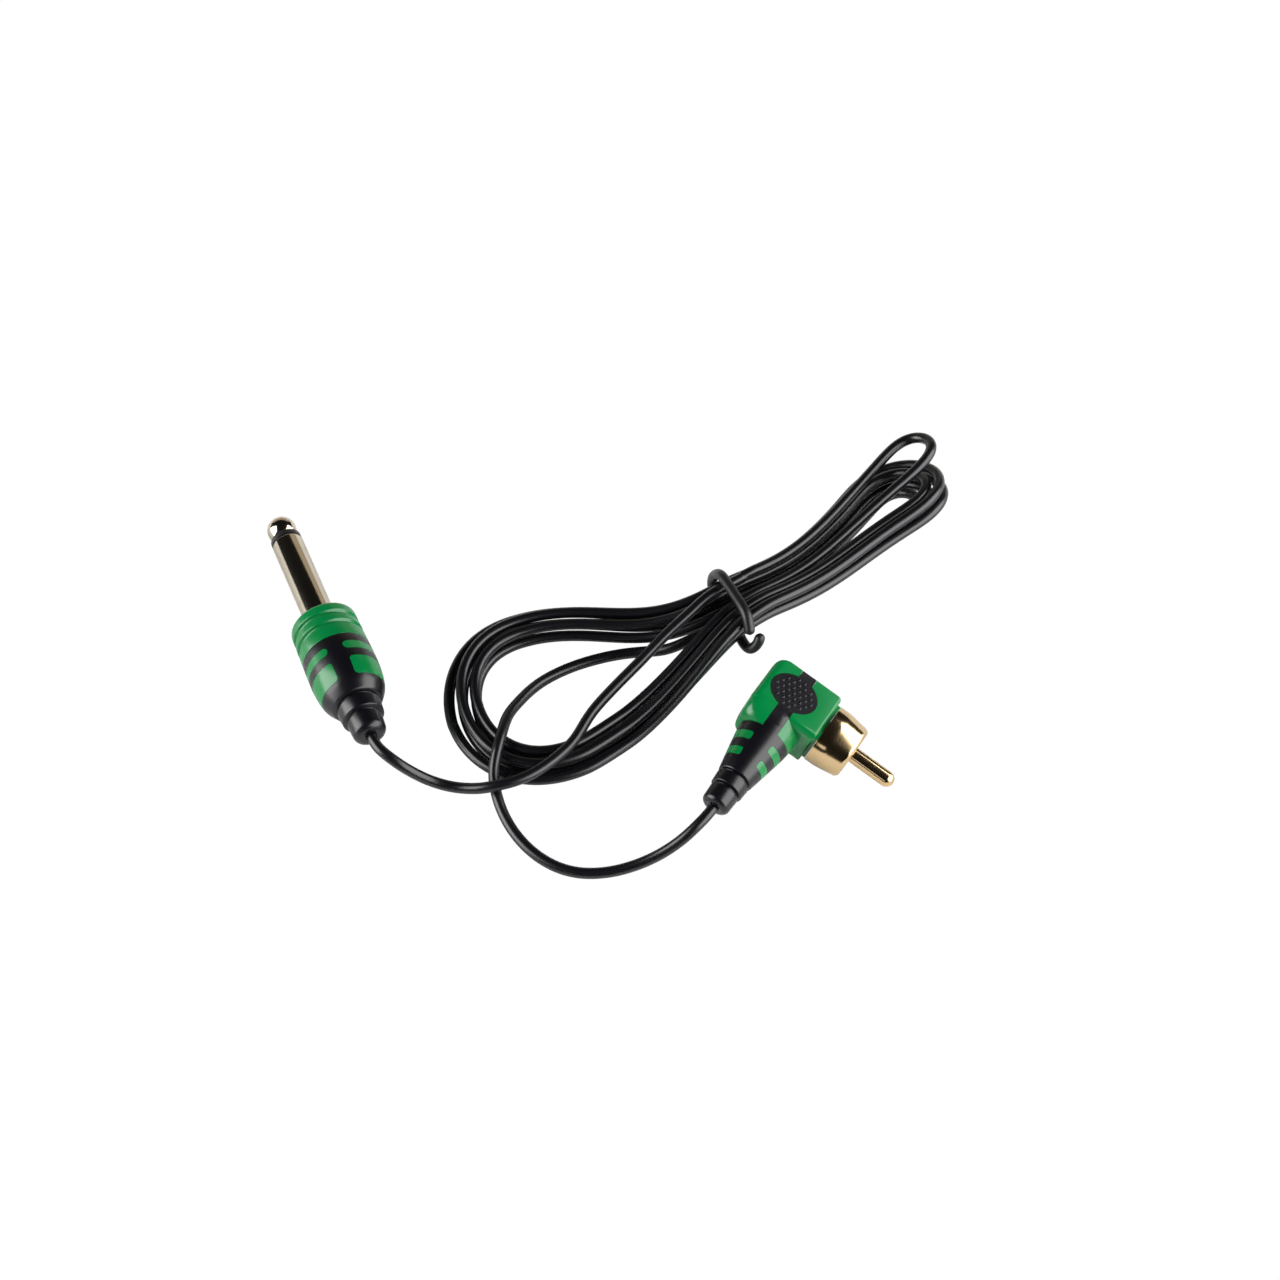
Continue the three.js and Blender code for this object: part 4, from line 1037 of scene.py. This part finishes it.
@dataclass(frozen=True)
class Hank:
    """The winding: loops round two lobes, out along a lower layer and in along an upper one."""

    cable: float = 2.2
    step: float = 2.75
    layer_rise: float = 3.0
    middle: Size = (29.565, 12.45)
    heading: float = math.radians(32.3)
    bend_radius: float = 222.0
    sways: tuple[Sway, ...] = (Sway(-6.4, -38.0, 7.0), Sway(2.2, 8.0, 44.0))
    near: Lobe = Lobe(50.8, 11.6, 1.8, 1.0)
    far: Lobe = Lobe(46.5, 3.4, 4.0, 16.0)
    beginning: float = -math.pi / 2
    reversal: float = 5 * math.pi
    finish: float = 10.5 * math.pi
    end_reach: float = 8.0
    roll: float = math.radians(30.0)
    roll_pivot: float = 11.4
    roll_from: float = -27.0
    roll_to: float = 7.0
    waist_rise: float = 2.5
    waist_reach: float = 14.0
    last_rise: float = 3.2
    last_shift: float = 0.6
    last_reach: float = 9.0
    turn_steps: int = 288
    nudge: float = 1e-4

    def beside(self, along: float, across: float, up: float) -> Vector:
        """Gives a place by the hank.

        Args:
            along: Along its bent middle line from the tie.
            across: To the left of that line, before the hank's roll.
            up: Above the floor, before the hank's roll.

        Returns:
            The place in the part's frame.
        """
        heading = self.heading + along / self.bend_radius
        offset = sum(sway.offset * eased(along, sway.start, sway.end) for sway in self.sways)
        facing = heading + math.atan(sum(sway.slope(along) for sway in self.sways))
        roll = self.roll * eased(along, self.roll_from, self.roll_to)
        aside, above = across - self.roll_pivot, up - self.cable / 2
        side = self.roll_pivot + aside * math.cos(roll) + above * math.sin(roll)
        return Vector((
            self.middle[0] + self.bend_radius * (math.sin(heading) - math.sin(self.heading))
            - offset * math.sin(heading) - side * math.sin(facing),
            self.middle[1] - self.bend_radius * (math.cos(heading) - math.cos(self.heading))
            + offset * math.cos(heading) + side * math.cos(facing),
            self.cable / 2 - aside * math.sin(roll) + above * math.cos(roll),
        ))

    def base(self, angle: float) -> Vector:
        """Gives a place on the line that the loops are wound round.

        Args:
            angle: The winding angle.

        Returns:
            The place along and across.
        """
        lobe = self.far if math.cos(angle) > 0 else self.near
        side = math.sin(angle)
        bulge = lobe.bulge(abs(math.cos(angle)))
        return Vector((lobe.reach * math.cos(angle),
                       math.copysign(bulge, side) + self.step / 4 * side))

    def point(self, angle: float) -> Vector:
        """Gives the middle of the cable.

        Args:
            angle: The winding angle.

        Returns:
            The place in the part's frame.
        """
        travel = (self.base(angle + self.nudge) - self.base(angle - self.nudge)).normalized()
        wound = min(angle, 2 * self.reversal - angle) - self.beginning
        loops = wound / (2 * math.pi) * self.step
        place = self.base(angle) + Vector((travel.y, -travel.x)) * loops
        climb = share_of(angle, self.reversal, self.reversal + math.pi)
        last = share_of(angle, self.finish - math.pi, self.finish)
        rise = math.sin(last * math.pi) ** 2
        settled = eased(last, 0.0, 1.0)
        along = place.x + self.last_reach * rise * abs(math.cos(angle))
        across = place.y + self.step / 2 * settled + self.last_shift * rise
        layer = (self.layer_rise * math.sqrt(1 - (1 - climb) ** 2)
                 + self.step * math.sqrt(0.75) * settled)
        waist = self.waist_rise * math.exp(-((along / self.waist_reach) ** 2))
        up = self.cable / 2 + layer + self.last_rise * rise + waist
        return self.beside(along, across, up)

    def line(self) -> list[Vector]:
        """Gives the whole winding, with a straight diameter at each end.

        Returns:
            Closely spaced points on the cable's middle line.
        """
        trim = math.asin(self.end_reach / self.far.reach)
        first, last = self.beginning + trim, self.finish - trim
        count = round((last - first) / (2 * math.pi) * self.turn_steps)
        points = [self.point(first + (last - first) * i / count) for i in range(count + 1)]
        head = (points[0] - points[1]).normalized() * self.cable
        tail = (points[-1] - points[-2]).normalized() * self.cable
        return [points[0] + head, *points, points[-1] + tail]


@dataclass(frozen=True)
class Cable:
    """The whole cable on one line: phone lead, hank and phono lead.

    Its length and its exit from the phone plug are in metres, and all else is in millimetres.
    """

    hank: Hank = Hank()
    spacing: float = 0.5
    resolution: int = 6
    length: float = 1.580
    exit: Point = (-0.038130, -0.020088, 0.010512)
    phone_lead: tuple[Point, ...] = (
        (-38.02, -20.37, 10.51), (-37.61, -21.38, 10.65), (-37.21, -22.39, 10.79),
        (-34.20, -24.93, 10.30), (-32.17, -25.92, 9.10), (-30.28, -26.37, 7.60),
        (-28.31, -26.71, 6.10), (-26.24, -26.99, 4.90), (-24.05, -27.34, 4.20),
        (-21.77, -27.79, 4.10), (-19.42, -28.31, 4.70), (-17.06, -28.82, 5.60),
        (-15.16, -28.82, 6.30), (-11.26, -28.11, 6.80), (-7.39, -26.29, 6.80),
        (-3.52, -23.33, 6.80), (0.37, -19.23, 6.80), (3.92, -12.41, 6.60),
        (8.27, -6.73, 6.70), (13.66, -0.97, 7.76), (18.36, 3.84, 9.39),
        (22.92, 7.82, 10.86), (27.09, 11.57, 11.94), (32.47, 14.84, 12.24),
        (33.26, 15.43, 12.15), (34.06, 15.99, 12.05),
    )
    phono_lead: tuple[Point, ...] = (
        (27.09, -35.37, 9.28), (26.49, -36.29, 9.28), (25.89, -37.21, 9.28),
        (24.66, -38.31, 9.05), (22.62, -40.04, 7.90), (19.57, -41.56, 5.70),
        (16.32, -42.71, 3.80), (12.85, -43.66, 2.40), (9.21, -44.43, 1.55),
        (5.44, -44.84, 1.15), (1.64, -44.75, 1.15), (-2.06, -43.69, 1.15),
        (-5.46, -41.70, 1.15), (-8.46, -39.04, 1.30), (-10.98, -35.92, 1.70),
        (-12.93, -32.38, 2.20), (-14.04, -29.34, 2.80), (-14.75, -26.32, 3.80),
        (-14.75, -23.60, 5.50), (-14.18, -21.05, 6.80), (-13.47, -17.60, 6.80),
        (-12.34, -12.08, 5.30), (-10.37, -8.24, 3.90), (-8.14, -4.74, 2.70),
        (-5.21, -1.56, 1.70), (-0.48, 1.46, 1.20), (4.39, 3.34, 1.15),
        (9.43, 4.52, 1.31), (14.12, 4.75, 1.88), (18.65, 4.08, 3.68),
        (24.13, 5.43, 5.94), (28.43, 7.07, 7.72), (32.84, 9.51, 8.88),
        (34.86, 10.67, 9.07), (35.79, 11.23, 9.05), (36.71, 11.78, 8.99),
    )

    def line(self) -> list[Vector]:
        """Gives the cable's middle line.

        Returns:
            Points from the phone plug to the phono plug.
        """
        first, last = (smooth_line([Vector(point) for point in lead], self.spacing)
                       for lead in (self.phone_lead, self.phono_lead))
        return [*first, *reversed(self.hank.line()), *reversed(last)]

    def build(self, bench: Bench) -> Object:
        """Makes the cable as one round curve.

        Args:
            bench: The bench to build on.

        Returns:
            The cable.
        """
        nodes = ("cable_jack_lead", "cable_hank", "cable_rca_lead")
        return bench.wire("cable", self.line(), self.hank.cable, self.resolution, Slot.JACKET,
                          nodes)


@dataclass(frozen=True)
class Tie:
    """The tie round the waist of the hank: a coated wire with rounded ends.

    Its points are along, across and up the hank, before the hank's roll.
    """

    hank: Hank = Hank()
    diameter: float = 2.1
    spacing: float = 0.25
    resolution: int = 8
    bluntness: float = 0.02
    points: tuple[Point, ...] = (
        (0.95, -10.7, 3.6), (0.65, -10.95, 2.9), (0.1, -10.9, 2.1), (-0.5, -10.5, 1.5),
        (-1.1, -9.9, 1.15), (-1.34, -8, 1.1), (-0.92, -4, 1.1), (-0.27, 1, 1.1),
        (0.16, 5.5, 1.1), (0.24, 8.1, 1.15), (0.29, 9.6, 2), (0.3, 9.95, 3.6),
        (0.29, 9.5, 5.7), (0.26, 8.25, 7.8), (0.2, 6.35, 9.45), (0.13, 4.2, 10.8),
        (0.07, 2.2, 11.5), (-0.01, -0.4, 11.1), (-0.12, -4, 10.1), (-0.22, -7.2, 9.2),
        (-0.38, -9.2, 8.2), (-0.61, -10.2, 6.6), (-0.95, -10.8, 4.9),
    )

    def build(self, bench: Bench) -> Object:
        """Makes the tie.

        Args:
            bench: Where pieces are finished.

        Returns:
            The tie.
        """
        line = smooth_line([self.hank.beside(*point) for point in self.points], self.spacing)
        travelled = [0.0]
        for start, end in zip(line, line[1:]):
            travelled.append(travelled[-1] + (end - start).length)
        fullness = []
        for run in travelled:
            from_end = min(1.0, min(run, travelled[-1] - run) / (self.diameter / 2))
            fullness.append(math.sqrt(max(self.bluntness, 1 - (1 - from_end) ** 2)))
        return bench.wire("tie", line, self.diameter, self.resolution, Slot.TIE, ("cable_tie",),
                          fullness)


# ------------------------------------------------------------------ phone plug


CABLE_BORE = 1.12
BORE_DEPTH = 1.5


def overmould(outline: Sequence[Corner], relief: Sequence[Corner], length: float) -> BMesh:
    """Turns an overmould down to its strain relief's end, with the cable's hole in it.

    Args:
        outline: Its corners down to the strain relief.
        relief: The strain relief's corners.
        length: How far along -Y it ends.

    Returns:
        A solid.
    """
    floor = BORE_DEPTH - length
    hole = corners((CABLE_BORE, -length, 0.05), (CABLE_BORE, floor), (0.0, floor))
    return Shaping.turned([*outline, *relief, *hole], sides=Shaping.FINE)


@dataclass(frozen=True)
class PhonePlug:
    """The straight phone plug. In its own frame its tip points along +Y, its spine along +Z."""

    face: Size = (-49.385, 7.98)
    heading: float = 111.85
    roll: float = 5.0
    dip_steps: int = 20
    reach: float = 30.5
    sleeve_radius: float = 3.175
    sleeve_root: float = -2.9
    tip_radius: float = 2.95
    neck_radius: float = 2.1
    neck_length: float = 0.6
    ring_thickness: float = 0.8
    ring_bore: float = 1.0
    ring_inset: float = 0.03
    ring_drop: float = 0.02
    bore: float = 2.225
    clearance: float = 0.3
    seam: float = 0.05
    front_radius: float = 6.7
    front_clear: float = 0.08
    edge_round: float = 0.8
    collar_end: float = 9.1
    collar_radius: float = 6.95
    grooves: tuple[float, ...] = (2.8, 5.5)
    groove_width: float = 1.2
    groove_depth: float = 0.5
    belly_at: float = 15.0
    belly_radius: float = 7.05
    belly_rise: float = 0.02
    shoulder_at: float = 19.8
    shoulder_radius: float = 6.4
    shoulder_fullness: float = 0.12
    tail_at: float = 22.2
    tail_radius: float = 5.0
    length: float = 30.5
    relief: tuple[Corner, ...] = corners(
        (4.0, -22.4, 0.1), (4.0, -22.75, 0.1), (4.45, -22.95, 0.12), (4.2, -25.7, 0.15),
        (3.2, -25.95, 0.1), (3.2, -26.25, 0.1), (3.55, -26.45, 0.12), (3.3, -29.9, 0.7),
        (2.2, -30.5, 0.3),
    )
    windows: Windows = Windows(
        (WindowRow(11.2, 13.3, 13.0, 1.05), WindowRow(15.2, 19.6, 15.0, 0.9)), 7.0, 4.0)

    @property
    def ball(self) -> float:
        """Where the middle of the ball tip is along Y."""
        return self.reach - self.tip_radius

    @property
    def ball_seat(self) -> float:
        """Where the tip's neck ends along Y."""
        neck = math.sqrt(self.tip_radius ** 2 - self.neck_radius ** 2)
        return self.ball - neck - self.neck_length

    def matrix(self) -> Matrix:
        """Gives the way from the plug's frame to the part's: tip and grip touch the floor.

        Returns:
            The matrix, from millimetres to metres.
        """
        dip = 0.0
        for _ in range(self.dip_steps):
            dip = math.asin((self.front_radius * math.cos(dip) - self.tip_radius)
                            / (self.ball + self.edge_round))
        height = self.front_radius * math.cos(dip) - self.edge_round * math.sin(dip)
        return (Matrix.Translation(Vector((*self.face, height)) * MM)
                @ Matrix.Rotation(math.radians(self.heading - 90), 4, "Z")
                @ Matrix.Rotation(-dip, 4, "X")
                @ Matrix.Rotation(math.radians(-self.roll), 4, "Y")
                @ Matrix.Diagonal((MM, MM, MM, 1.0)))

    def tip(self) -> BMesh:
        """Makes the ball tip with its neck.

        Returns:
            The tip.
        """
        angle = math.pi - math.asin(self.neck_radius / self.tip_radius)
        ball = ball_outline(self.tip_radius, self.ball, angle, steps=28)
        neck = corners((self.neck_radius, self.ball_seat), (0.0, self.ball_seat))
        return Shaping.turned([*ball, *neck])

    def insulator(self) -> BMesh:
        """Makes the insulating ring behind the tip.

        Returns:
            The ring.
        """
        top, radius = self.ball_seat - self.ring_drop, self.sleeve_radius - self.ring_inset
        return Shaping.ring(self.ring_bore, radius, top - self.ring_thickness - self.clearance,
                            top, 0.12)

    def sleeve(self) -> BMesh:
        """Makes the long contact."""
        top = self.ball_seat - self.ring_thickness - 2 * self.clearance
        return Shaping.ring(self.bore, self.sleeve_radius, self.sleeve_root, top, 0.25)

    def collar(self) -> BMesh:
        """Makes the grooved green collar.

        Returns:
            The collar.
        """
        outside = []
        slope = (self.collar_radius - self.front_radius) / self.collar_end
        half = self.groove_width / 2
        for groove in self.grooves:
            radius = self.front_radius + slope * groove
            floor = radius - self.groove_depth
            outside += [(radius, half - groove, 0.12), (floor, half / 3 - groove, 0.15),
                        (floor, -half / 3 - groove, 0.15), (radius, -half - groove, 0.12)]
        inside = self.sleeve_radius + self.front_clear
        end = self.seam - self.collar_end
        return Shaping.turned(corners(
            (inside, 0.0, 0.06), (self.front_radius, 0.0, self.edge_round), *outside,
            (self.collar_radius, end, 0.06), (inside, end)), hollow=True)

    def skin(self) -> BMesh:
        """Makes the overmould's whole outside.

        Returns:
            A solid.
        """
        start = -self.collar_end - self.seam
        middle = (self.belly_radius + self.shoulder_radius) / 2 + self.shoulder_fullness
        outline = corners(
            (0.0, start), (self.collar_radius, start, 0.06),
            (self.belly_radius - self.belly_rise, -(self.collar_end + self.belly_at) / 2, 1.5),
            (self.belly_radius, -self.belly_at, 1.5),
            (middle, -(self.belly_at + self.shoulder_at) / 2, 1.0),
            (self.shoulder_radius, -self.shoulder_at, 1.0),
            (self.tail_radius, -self.tail_at, 0.25),
        )
        return overmould(outline, self.relief, self.length)

    def build(self, bench: Bench) -> None:
        """Makes every visible piece of the plug.

        Args:
            bench: Where pieces are finished.
        """
        skin = self.skin()
        bosses, dark = self.windows.cut(skin, skin)
        green = Shaping.joined([self.collar(), *bosses])
        for name, shape, slot, node in (
            ("phone_tip", self.tip(), Slot.PALE_GOLD, "jack_tip"),
            ("phone_insulator", self.insulator(), Slot.INSULATOR_BLACK, "jack_tip_insulator"),
            ("phone_sleeve", self.sleeve(), Slot.PALE_GOLD, "jack_sleeve"),
            ("phone_green_grip", green, Slot.GREEN, "jack_green_body"),
            ("phone_black_grip", dark, Slot.BLACK, "jack_black_overmould"),
        ):
            bench.place(name, shape, slot, self.matrix(), node)


# ------------------------------------------------------------------ phono plug


@dataclass(frozen=True)
class FlareSection:
    """One cross-section of the phono plug's shoulder: its place, half its size, its squareness."""

    along: float
    half_width: float
    half_height: float
    squareness: float


@dataclass(frozen=True)
class PhonoPlug:
    """The right-angle phono plug. Its pin points along +X, its cable along -Y, its pad along +Z."""

    base: Size = (48.665, -17.2)
    heading: float = -33.1
    dip: float = 15.2
    seam: float = 0.05
    pin_radius: float = 1.6
    pin_reach: float = 16.7
    pin_root: float = 2.5
    collar_radius: float = 6.15
    rim_radius: float = 5.5
    collar_length: float = 7.2
    straight: float = 3.0
    cone_from: float = 2.25
    bore: float = 4.15
    root_bore: float = 2.8
    floor: float = 1.6
    rim_round: float = 0.6
    front: float = -0.65
    length: float = 14.65
    width: float = 11.0
    height: float = 12.2
    edge: float = 0.6
    rear_corner: float = 2.7
    other_corners: float = 0.9
    soft_round: float = 1.7
    lip_step: float = 0.95
    lip_corner: float = 1.2
    lip_clear: float = 0.03
    pad: Size = (10.0, 7.4)
    pad_from_rear: float = 6.5
    bump_pitch: Size = (1.3, 0.988)
    bump_size: Point = (0.33, 0.42, 0.34)
    bump_margin: Size = (0.5, 0.45)
    bump_rows: int = 4
    bump_columns: int = 5
    stripe_width: float = 3.2
    stripe_from_pad: float = 0.45
    neck_width: float = 3.3
    boot_from_rear: float = 6.85
    root_radius: float = 5.75
    flare: tuple[FlareSection, ...] = (
        FlareSection(3.4, 6.84, 6.09, 7.0), FlareSection(5.4, 6.82, 6.04, 6.5),
        FlareSection(6.4, 6.7, 5.9, 6.0), FlareSection(7.3, 6.55, 5.65, 5.0),
        FlareSection(8.1, 6.35, 5.3, 4.0), FlareSection(8.6, 6.05, 5.0, 3.0),
        FlareSection(8.9, 5.4, 4.7, 2.0),
    )
    flare_front: float = 5.1
    sleeve_end: float = 8.9
    sleeve_radius: float = 5.5
    boot_length: float = 26.7
    relief: tuple[Corner, ...] = corners(
        (4.6, -14.0, 2.0), (3.6, -19.2, 0.2), (2.95, -19.35, 0.1), (2.95, -19.7, 0.1),
        (3.45, -19.85, 0.12), (3.3, -22.25, 0.15), (2.5, -22.45, 0.1), (2.5, -22.8, 0.1),
        (3.0, -22.95, 0.12), (2.85, -26.2, 0.55), (1.9, -26.7, 0.25),
    )
    windows: Windows = Windows(
        (WindowRow(10.9, 12.7, 24.0, 0.55), WindowRow(14.5, 16.3, 27.0, 0.55)), 5.0, 2.0)

    @property
    def rear(self) -> float:
        """Where the housing's rear face is along X."""
        return self.front - self.length

    @property
    def boot_axis(self) -> float:
        """Where the boot's axis is along X."""
        return self.rear + self.boot_from_rear

    @property
    def pad_middle(self) -> float:
        """Where the middle of the pad is along X."""
        return self.rear + self.pad_from_rear

    def matrix(self) -> Matrix:
        """Gives the way from the plug's frame to the part's: the collar touches the floor.

        Returns:
            The matrix, from millimetres to metres.
        """
        dip = math.radians(self.dip)
        outline = (
            (self.collar_radius, self.straight),
            ((2 * self.collar_radius + self.rim_radius) / 3,
             (self.straight + self.collar_length) / 2),
            (self.rim_radius, self.collar_length - self.rim_round),
            (self.rim_radius - 0.3 * self.rim_round, self.collar_length - 0.3 * self.rim_round),
        )
        height = max(radius * math.cos(dip) + along * math.sin(dip) for radius, along in outline)
        return (Matrix.Translation(Vector((*self.base, height)) * MM)
                @ Matrix.Rotation(math.radians(self.heading), 4, "Z")
                @ Matrix.Rotation(dip, 4, "Y")
                @ Matrix.Diagonal((MM, MM, MM, 1.0)))

    @staticmethod
    def _about_pin(shape: BMesh) -> BMesh:
        """Turns a shape from +Y to +X."""
        return Shaping.moved(shape, Matrix.Rotation(-math.pi / 2, 4, "Z"))

    def pin(self) -> BMesh:
        """Makes the centre pin with its round nose.

        Returns:
            The pin.
        """
        start = self.pin_reach - self.pin_radius
        nose = ball_outline(self.pin_radius, start, math.pi / 2, steps=16)
        root = corners((self.pin_radius, self.pin_root), (0.0, self.pin_root))
        return self._about_pin(Shaping.turned([*nose, *root], sides=72))

    def collar(self) -> BMesh:
        """Makes the collar with its bore: straight at its base, and then a cone.

        Returns:
            The collar.
        """
        return self._about_pin(Shaping.turned(corners(
            (self.root_bore, 0.0), (self.collar_radius, 0.0, 0.1),
            (self.collar_radius, self.cone_from, 0.5),
            (self.rim_radius, self.collar_length - self.rim_round, 0.3),
            (self.rim_radius - self.rim_round, self.collar_length, 0.25),
            (self.bore, self.collar_length, 0.15), (self.bore, self.floor),
            (self.root_bore, self.floor),
        ), sides=Shaping.FINE, hollow=True))

    def _flare(self) -> BMesh:
        """Makes the shoulder that carries the housing's rear side on to the boot.

        Returns:
            A solid, square at the housing and round at the boot.
        """
        flare = bmesh.new()
        for section in self.flare:
            power = 2.0 / section.squareness
            ring = bmesh.ops.create_circle(flare, segments=Shaping.FINE, radius=1.0)["verts"]
            for vert in ring:
                across, up = round(vert.co.x, 6), round(vert.co.y, 6)
                if across > 0:
                    wide = across * self.flare_front
                else:
                    wide = -abs(across) ** power * section.half_width
                    up = math.copysign(abs(up) ** power, up)
                vert.co = (wide, -section.along, up * section.half_height)
        bmesh.ops.bridge_loops(flare, edges=flare.edges[:])
        bmesh.ops.holes_fill(flare, edges=[edge for edge in flare.edges if edge.is_boundary])
        bmesh.ops.recalc_face_normals(flare, faces=flare.faces[:])
        return flare

    def _housing(self) -> BMesh:
        """Makes the housing's block: soft along its rear and its cable side, crisp elsewhere.

        Returns:
            A solid.
        """
        half, tall = self.width / 2, self.height / 2
        proud, near, upwards = 0.002, 0.01, 0.9
        box = Shaping.block((self.rear, -half, -tall), (self.front, half, tall))

        def rise(edge: BMEdge) -> float:
            """Gives how much higher one end of an edge is."""
            return abs(edge.verts[0].co.z - edge.verts[1].co.z)

        def uprights(far_rear: bool) -> list[BMEdge]:
            """Finds the block's upright edge at the far end of its rear, or all the others."""
            return [edge for edge in box.edges if rise(edge) > 1 and far_rear == (
                edge.verts[0].co.x < self.rear + near and edge.verts[0].co.y > half - near)]

        Shaping.rounded(box, uprights(False), self.other_corners)
        Shaping.rounded(box, uprights(True), self.rear_corner, 8)
        Shaping.rounded(box, [
            edge for edge in box.edges if rise(edge) < near
            and any(abs(face.normal.z) > upwards for face in edge.link_faces)], self.edge)
        mould = Shaping.block((self.rear - proud, -half - proud, -tall - proud),
                              (2 * self.length, half + 1, tall + proud))
        Shaping.rounded(mould, [
            edge for edge in mould.edges if rise(edge) < 1
            and min(vert.co.x for vert in edge.verts) < 0
            and min(vert.co.y for vert in edge.verts) < 0], self.soft_round, 12)
        return Shaping.carved(box, mould, Carve.KEEP)

    def _outside(self) -> BMesh:
        """Makes the housing, the shoulder and the boot as one solid.

        Returns:
            The solid.
        """
        root = corners((0.0, 0.0), (self.root_radius, 0.0),
                       (self.root_radius, -self.width / 2, 1.0),
                       (self.sleeve_radius, -self.sleeve_end, 2.0))
        boot = overmould(root, self.relief, self.boot_length)
        outside = self._housing()
        for part in (boot, self._flare()):
            Shaping.moved(part, Matrix.Translation((self.boot_axis, 0, 0)))
            outside = Shaping.carved(outside, part, Carve.JOIN)
        return outside

    def _dark_region(self, grow: float) -> BMesh:
        """Makes the solid that the black parts of the outside lie in.

        Args:
            grow: How much larger it is on every side.

        Returns:
            The solid.
        """
        reach = self.height + 2
        region = Shaping.oval_post(self.pad_middle, self.pad[0] + 2 * grow,
                                   self.pad[1] + 2 * grow, reach)
        stripe, neck = self.pad_middle + self.stripe_from_pad, self.boot_axis
        for middle, half, low, high, proud in (
            (stripe, self.stripe_width / 2 + grow, 0.0, self.width, 0.1),
            (neck, self.neck_width / 2 + grow, -self.sleeve_end - 1, 0.0, 0.2),
            (neck, self.length, -2 * self.boot_length, grow - self.sleeve_end, 0.3),
        ):
            part = Shaping.block((middle - half, low, -reach / 2 - proud),
                                 (middle + half, high, reach / 2 + proud))
            region = Shaping.carved(region, part, Carve.JOIN)
        return region

    def _bumps(self) -> list[BMesh]:
        """Makes the small grip bumps on both pads.

        Returns:
            The bumps.
        """
        bumps = []
        reach = [size / 2 - margin for size, margin in zip(self.pad, self.bump_margin)]
        for row in range(-self.bump_rows, self.bump_rows + 1):
            for column in range(-self.bump_columns, self.bump_columns + 1):
                x = (column + (0.5 if row % 2 else 0.0)) * self.bump_pitch[0]
                y = row * self.bump_pitch[1]
                if (x / reach[0]) ** 2 + (y / reach[1]) ** 2 > 1:
                    continue
                for side in (1, -1):
                    bump = bmesh.new()
                    bmesh.ops.create_uvsphere(bump, u_segments=12, v_segments=8, radius=1.0)
                    place = (self.pad_middle + x, y, side * self.height / 2)
                    bumps.append(Shaping.moved(bump, Matrix.Translation(place)
                                               @ Matrix.Diagonal((*self.bump_size, 1.0))))
        return bumps

    def _lip(self) -> BMesh:
        """Makes the housing's lip behind the collar.

        Returns:
            The lip.
        """
        wide, tall = self.width / 2 - self.lip_step, self.height / 2 - self.lip_step
        lip = Shaping.block((self.front - self.edge, -wide, -tall),
                            (-self.lip_clear, wide, tall))
        Shaping.rounded(lip, [
            edge for edge in lip.edges
            if abs(edge.verts[0].co.x - edge.verts[1].co.x) > 0.5], self.lip_corner, 5)
        return lip

    def build(self, bench: Bench) -> list[Object]:
        """Makes every visible piece of the plug.

        Args:
            bench: Where pieces are finished.

        Returns:
            The pieces.
        """
        outside = self._outside()
        green = Shaping.carved(outside, self._dark_region(self.seam), Carve.CUT)
        black = Shaping.carved(outside, self._dark_region(0.0), Carve.KEEP)
        bosses, dark = self.windows.cut(outside, black, self.boot_axis)
        housing = Shaping.joined([green, self._lip(), *bosses])
        boot = Shaping.joined([dark, *self._bumps()])
        return [bench.place(name, shape, slot, self.matrix(), node) for name, shape, slot, node in (
            ("phono_pin", self.pin(), Slot.RICH_GOLD, "rca_pin"),
            ("phono_collar", self.collar(), Slot.RICH_GOLD, "rca_collar"),
            ("phono_green_housing", housing, Slot.GREEN, "rca_green_body"),
            ("phono_black_boot", boot, Slot.BLACK, "rca_black_overmould"),
        )]


# ------------------------------------------------------------------ making it all


def main() -> None:
    """Builds the camera, the cable, the tie and both plugs on the frame."""
    logging.basicConfig(level=logging.INFO, format="%(name)s: %(message)s")
    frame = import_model()
    Viewpoint().build()
    Studio().build()
    finishes = Finishes()
    finishes.dress_frame(frame)
    bench = Bench(finishes)
    cable = Cable()
    cord = cable.build(bench)
    Tie().build(bench)
    PhonePlug().build(bench)
    phono = PhonoPlug().build(bench)
    LOG.info("%d pieces are finished", len(bench.pieces))


if __name__ == "__main__":
    main()
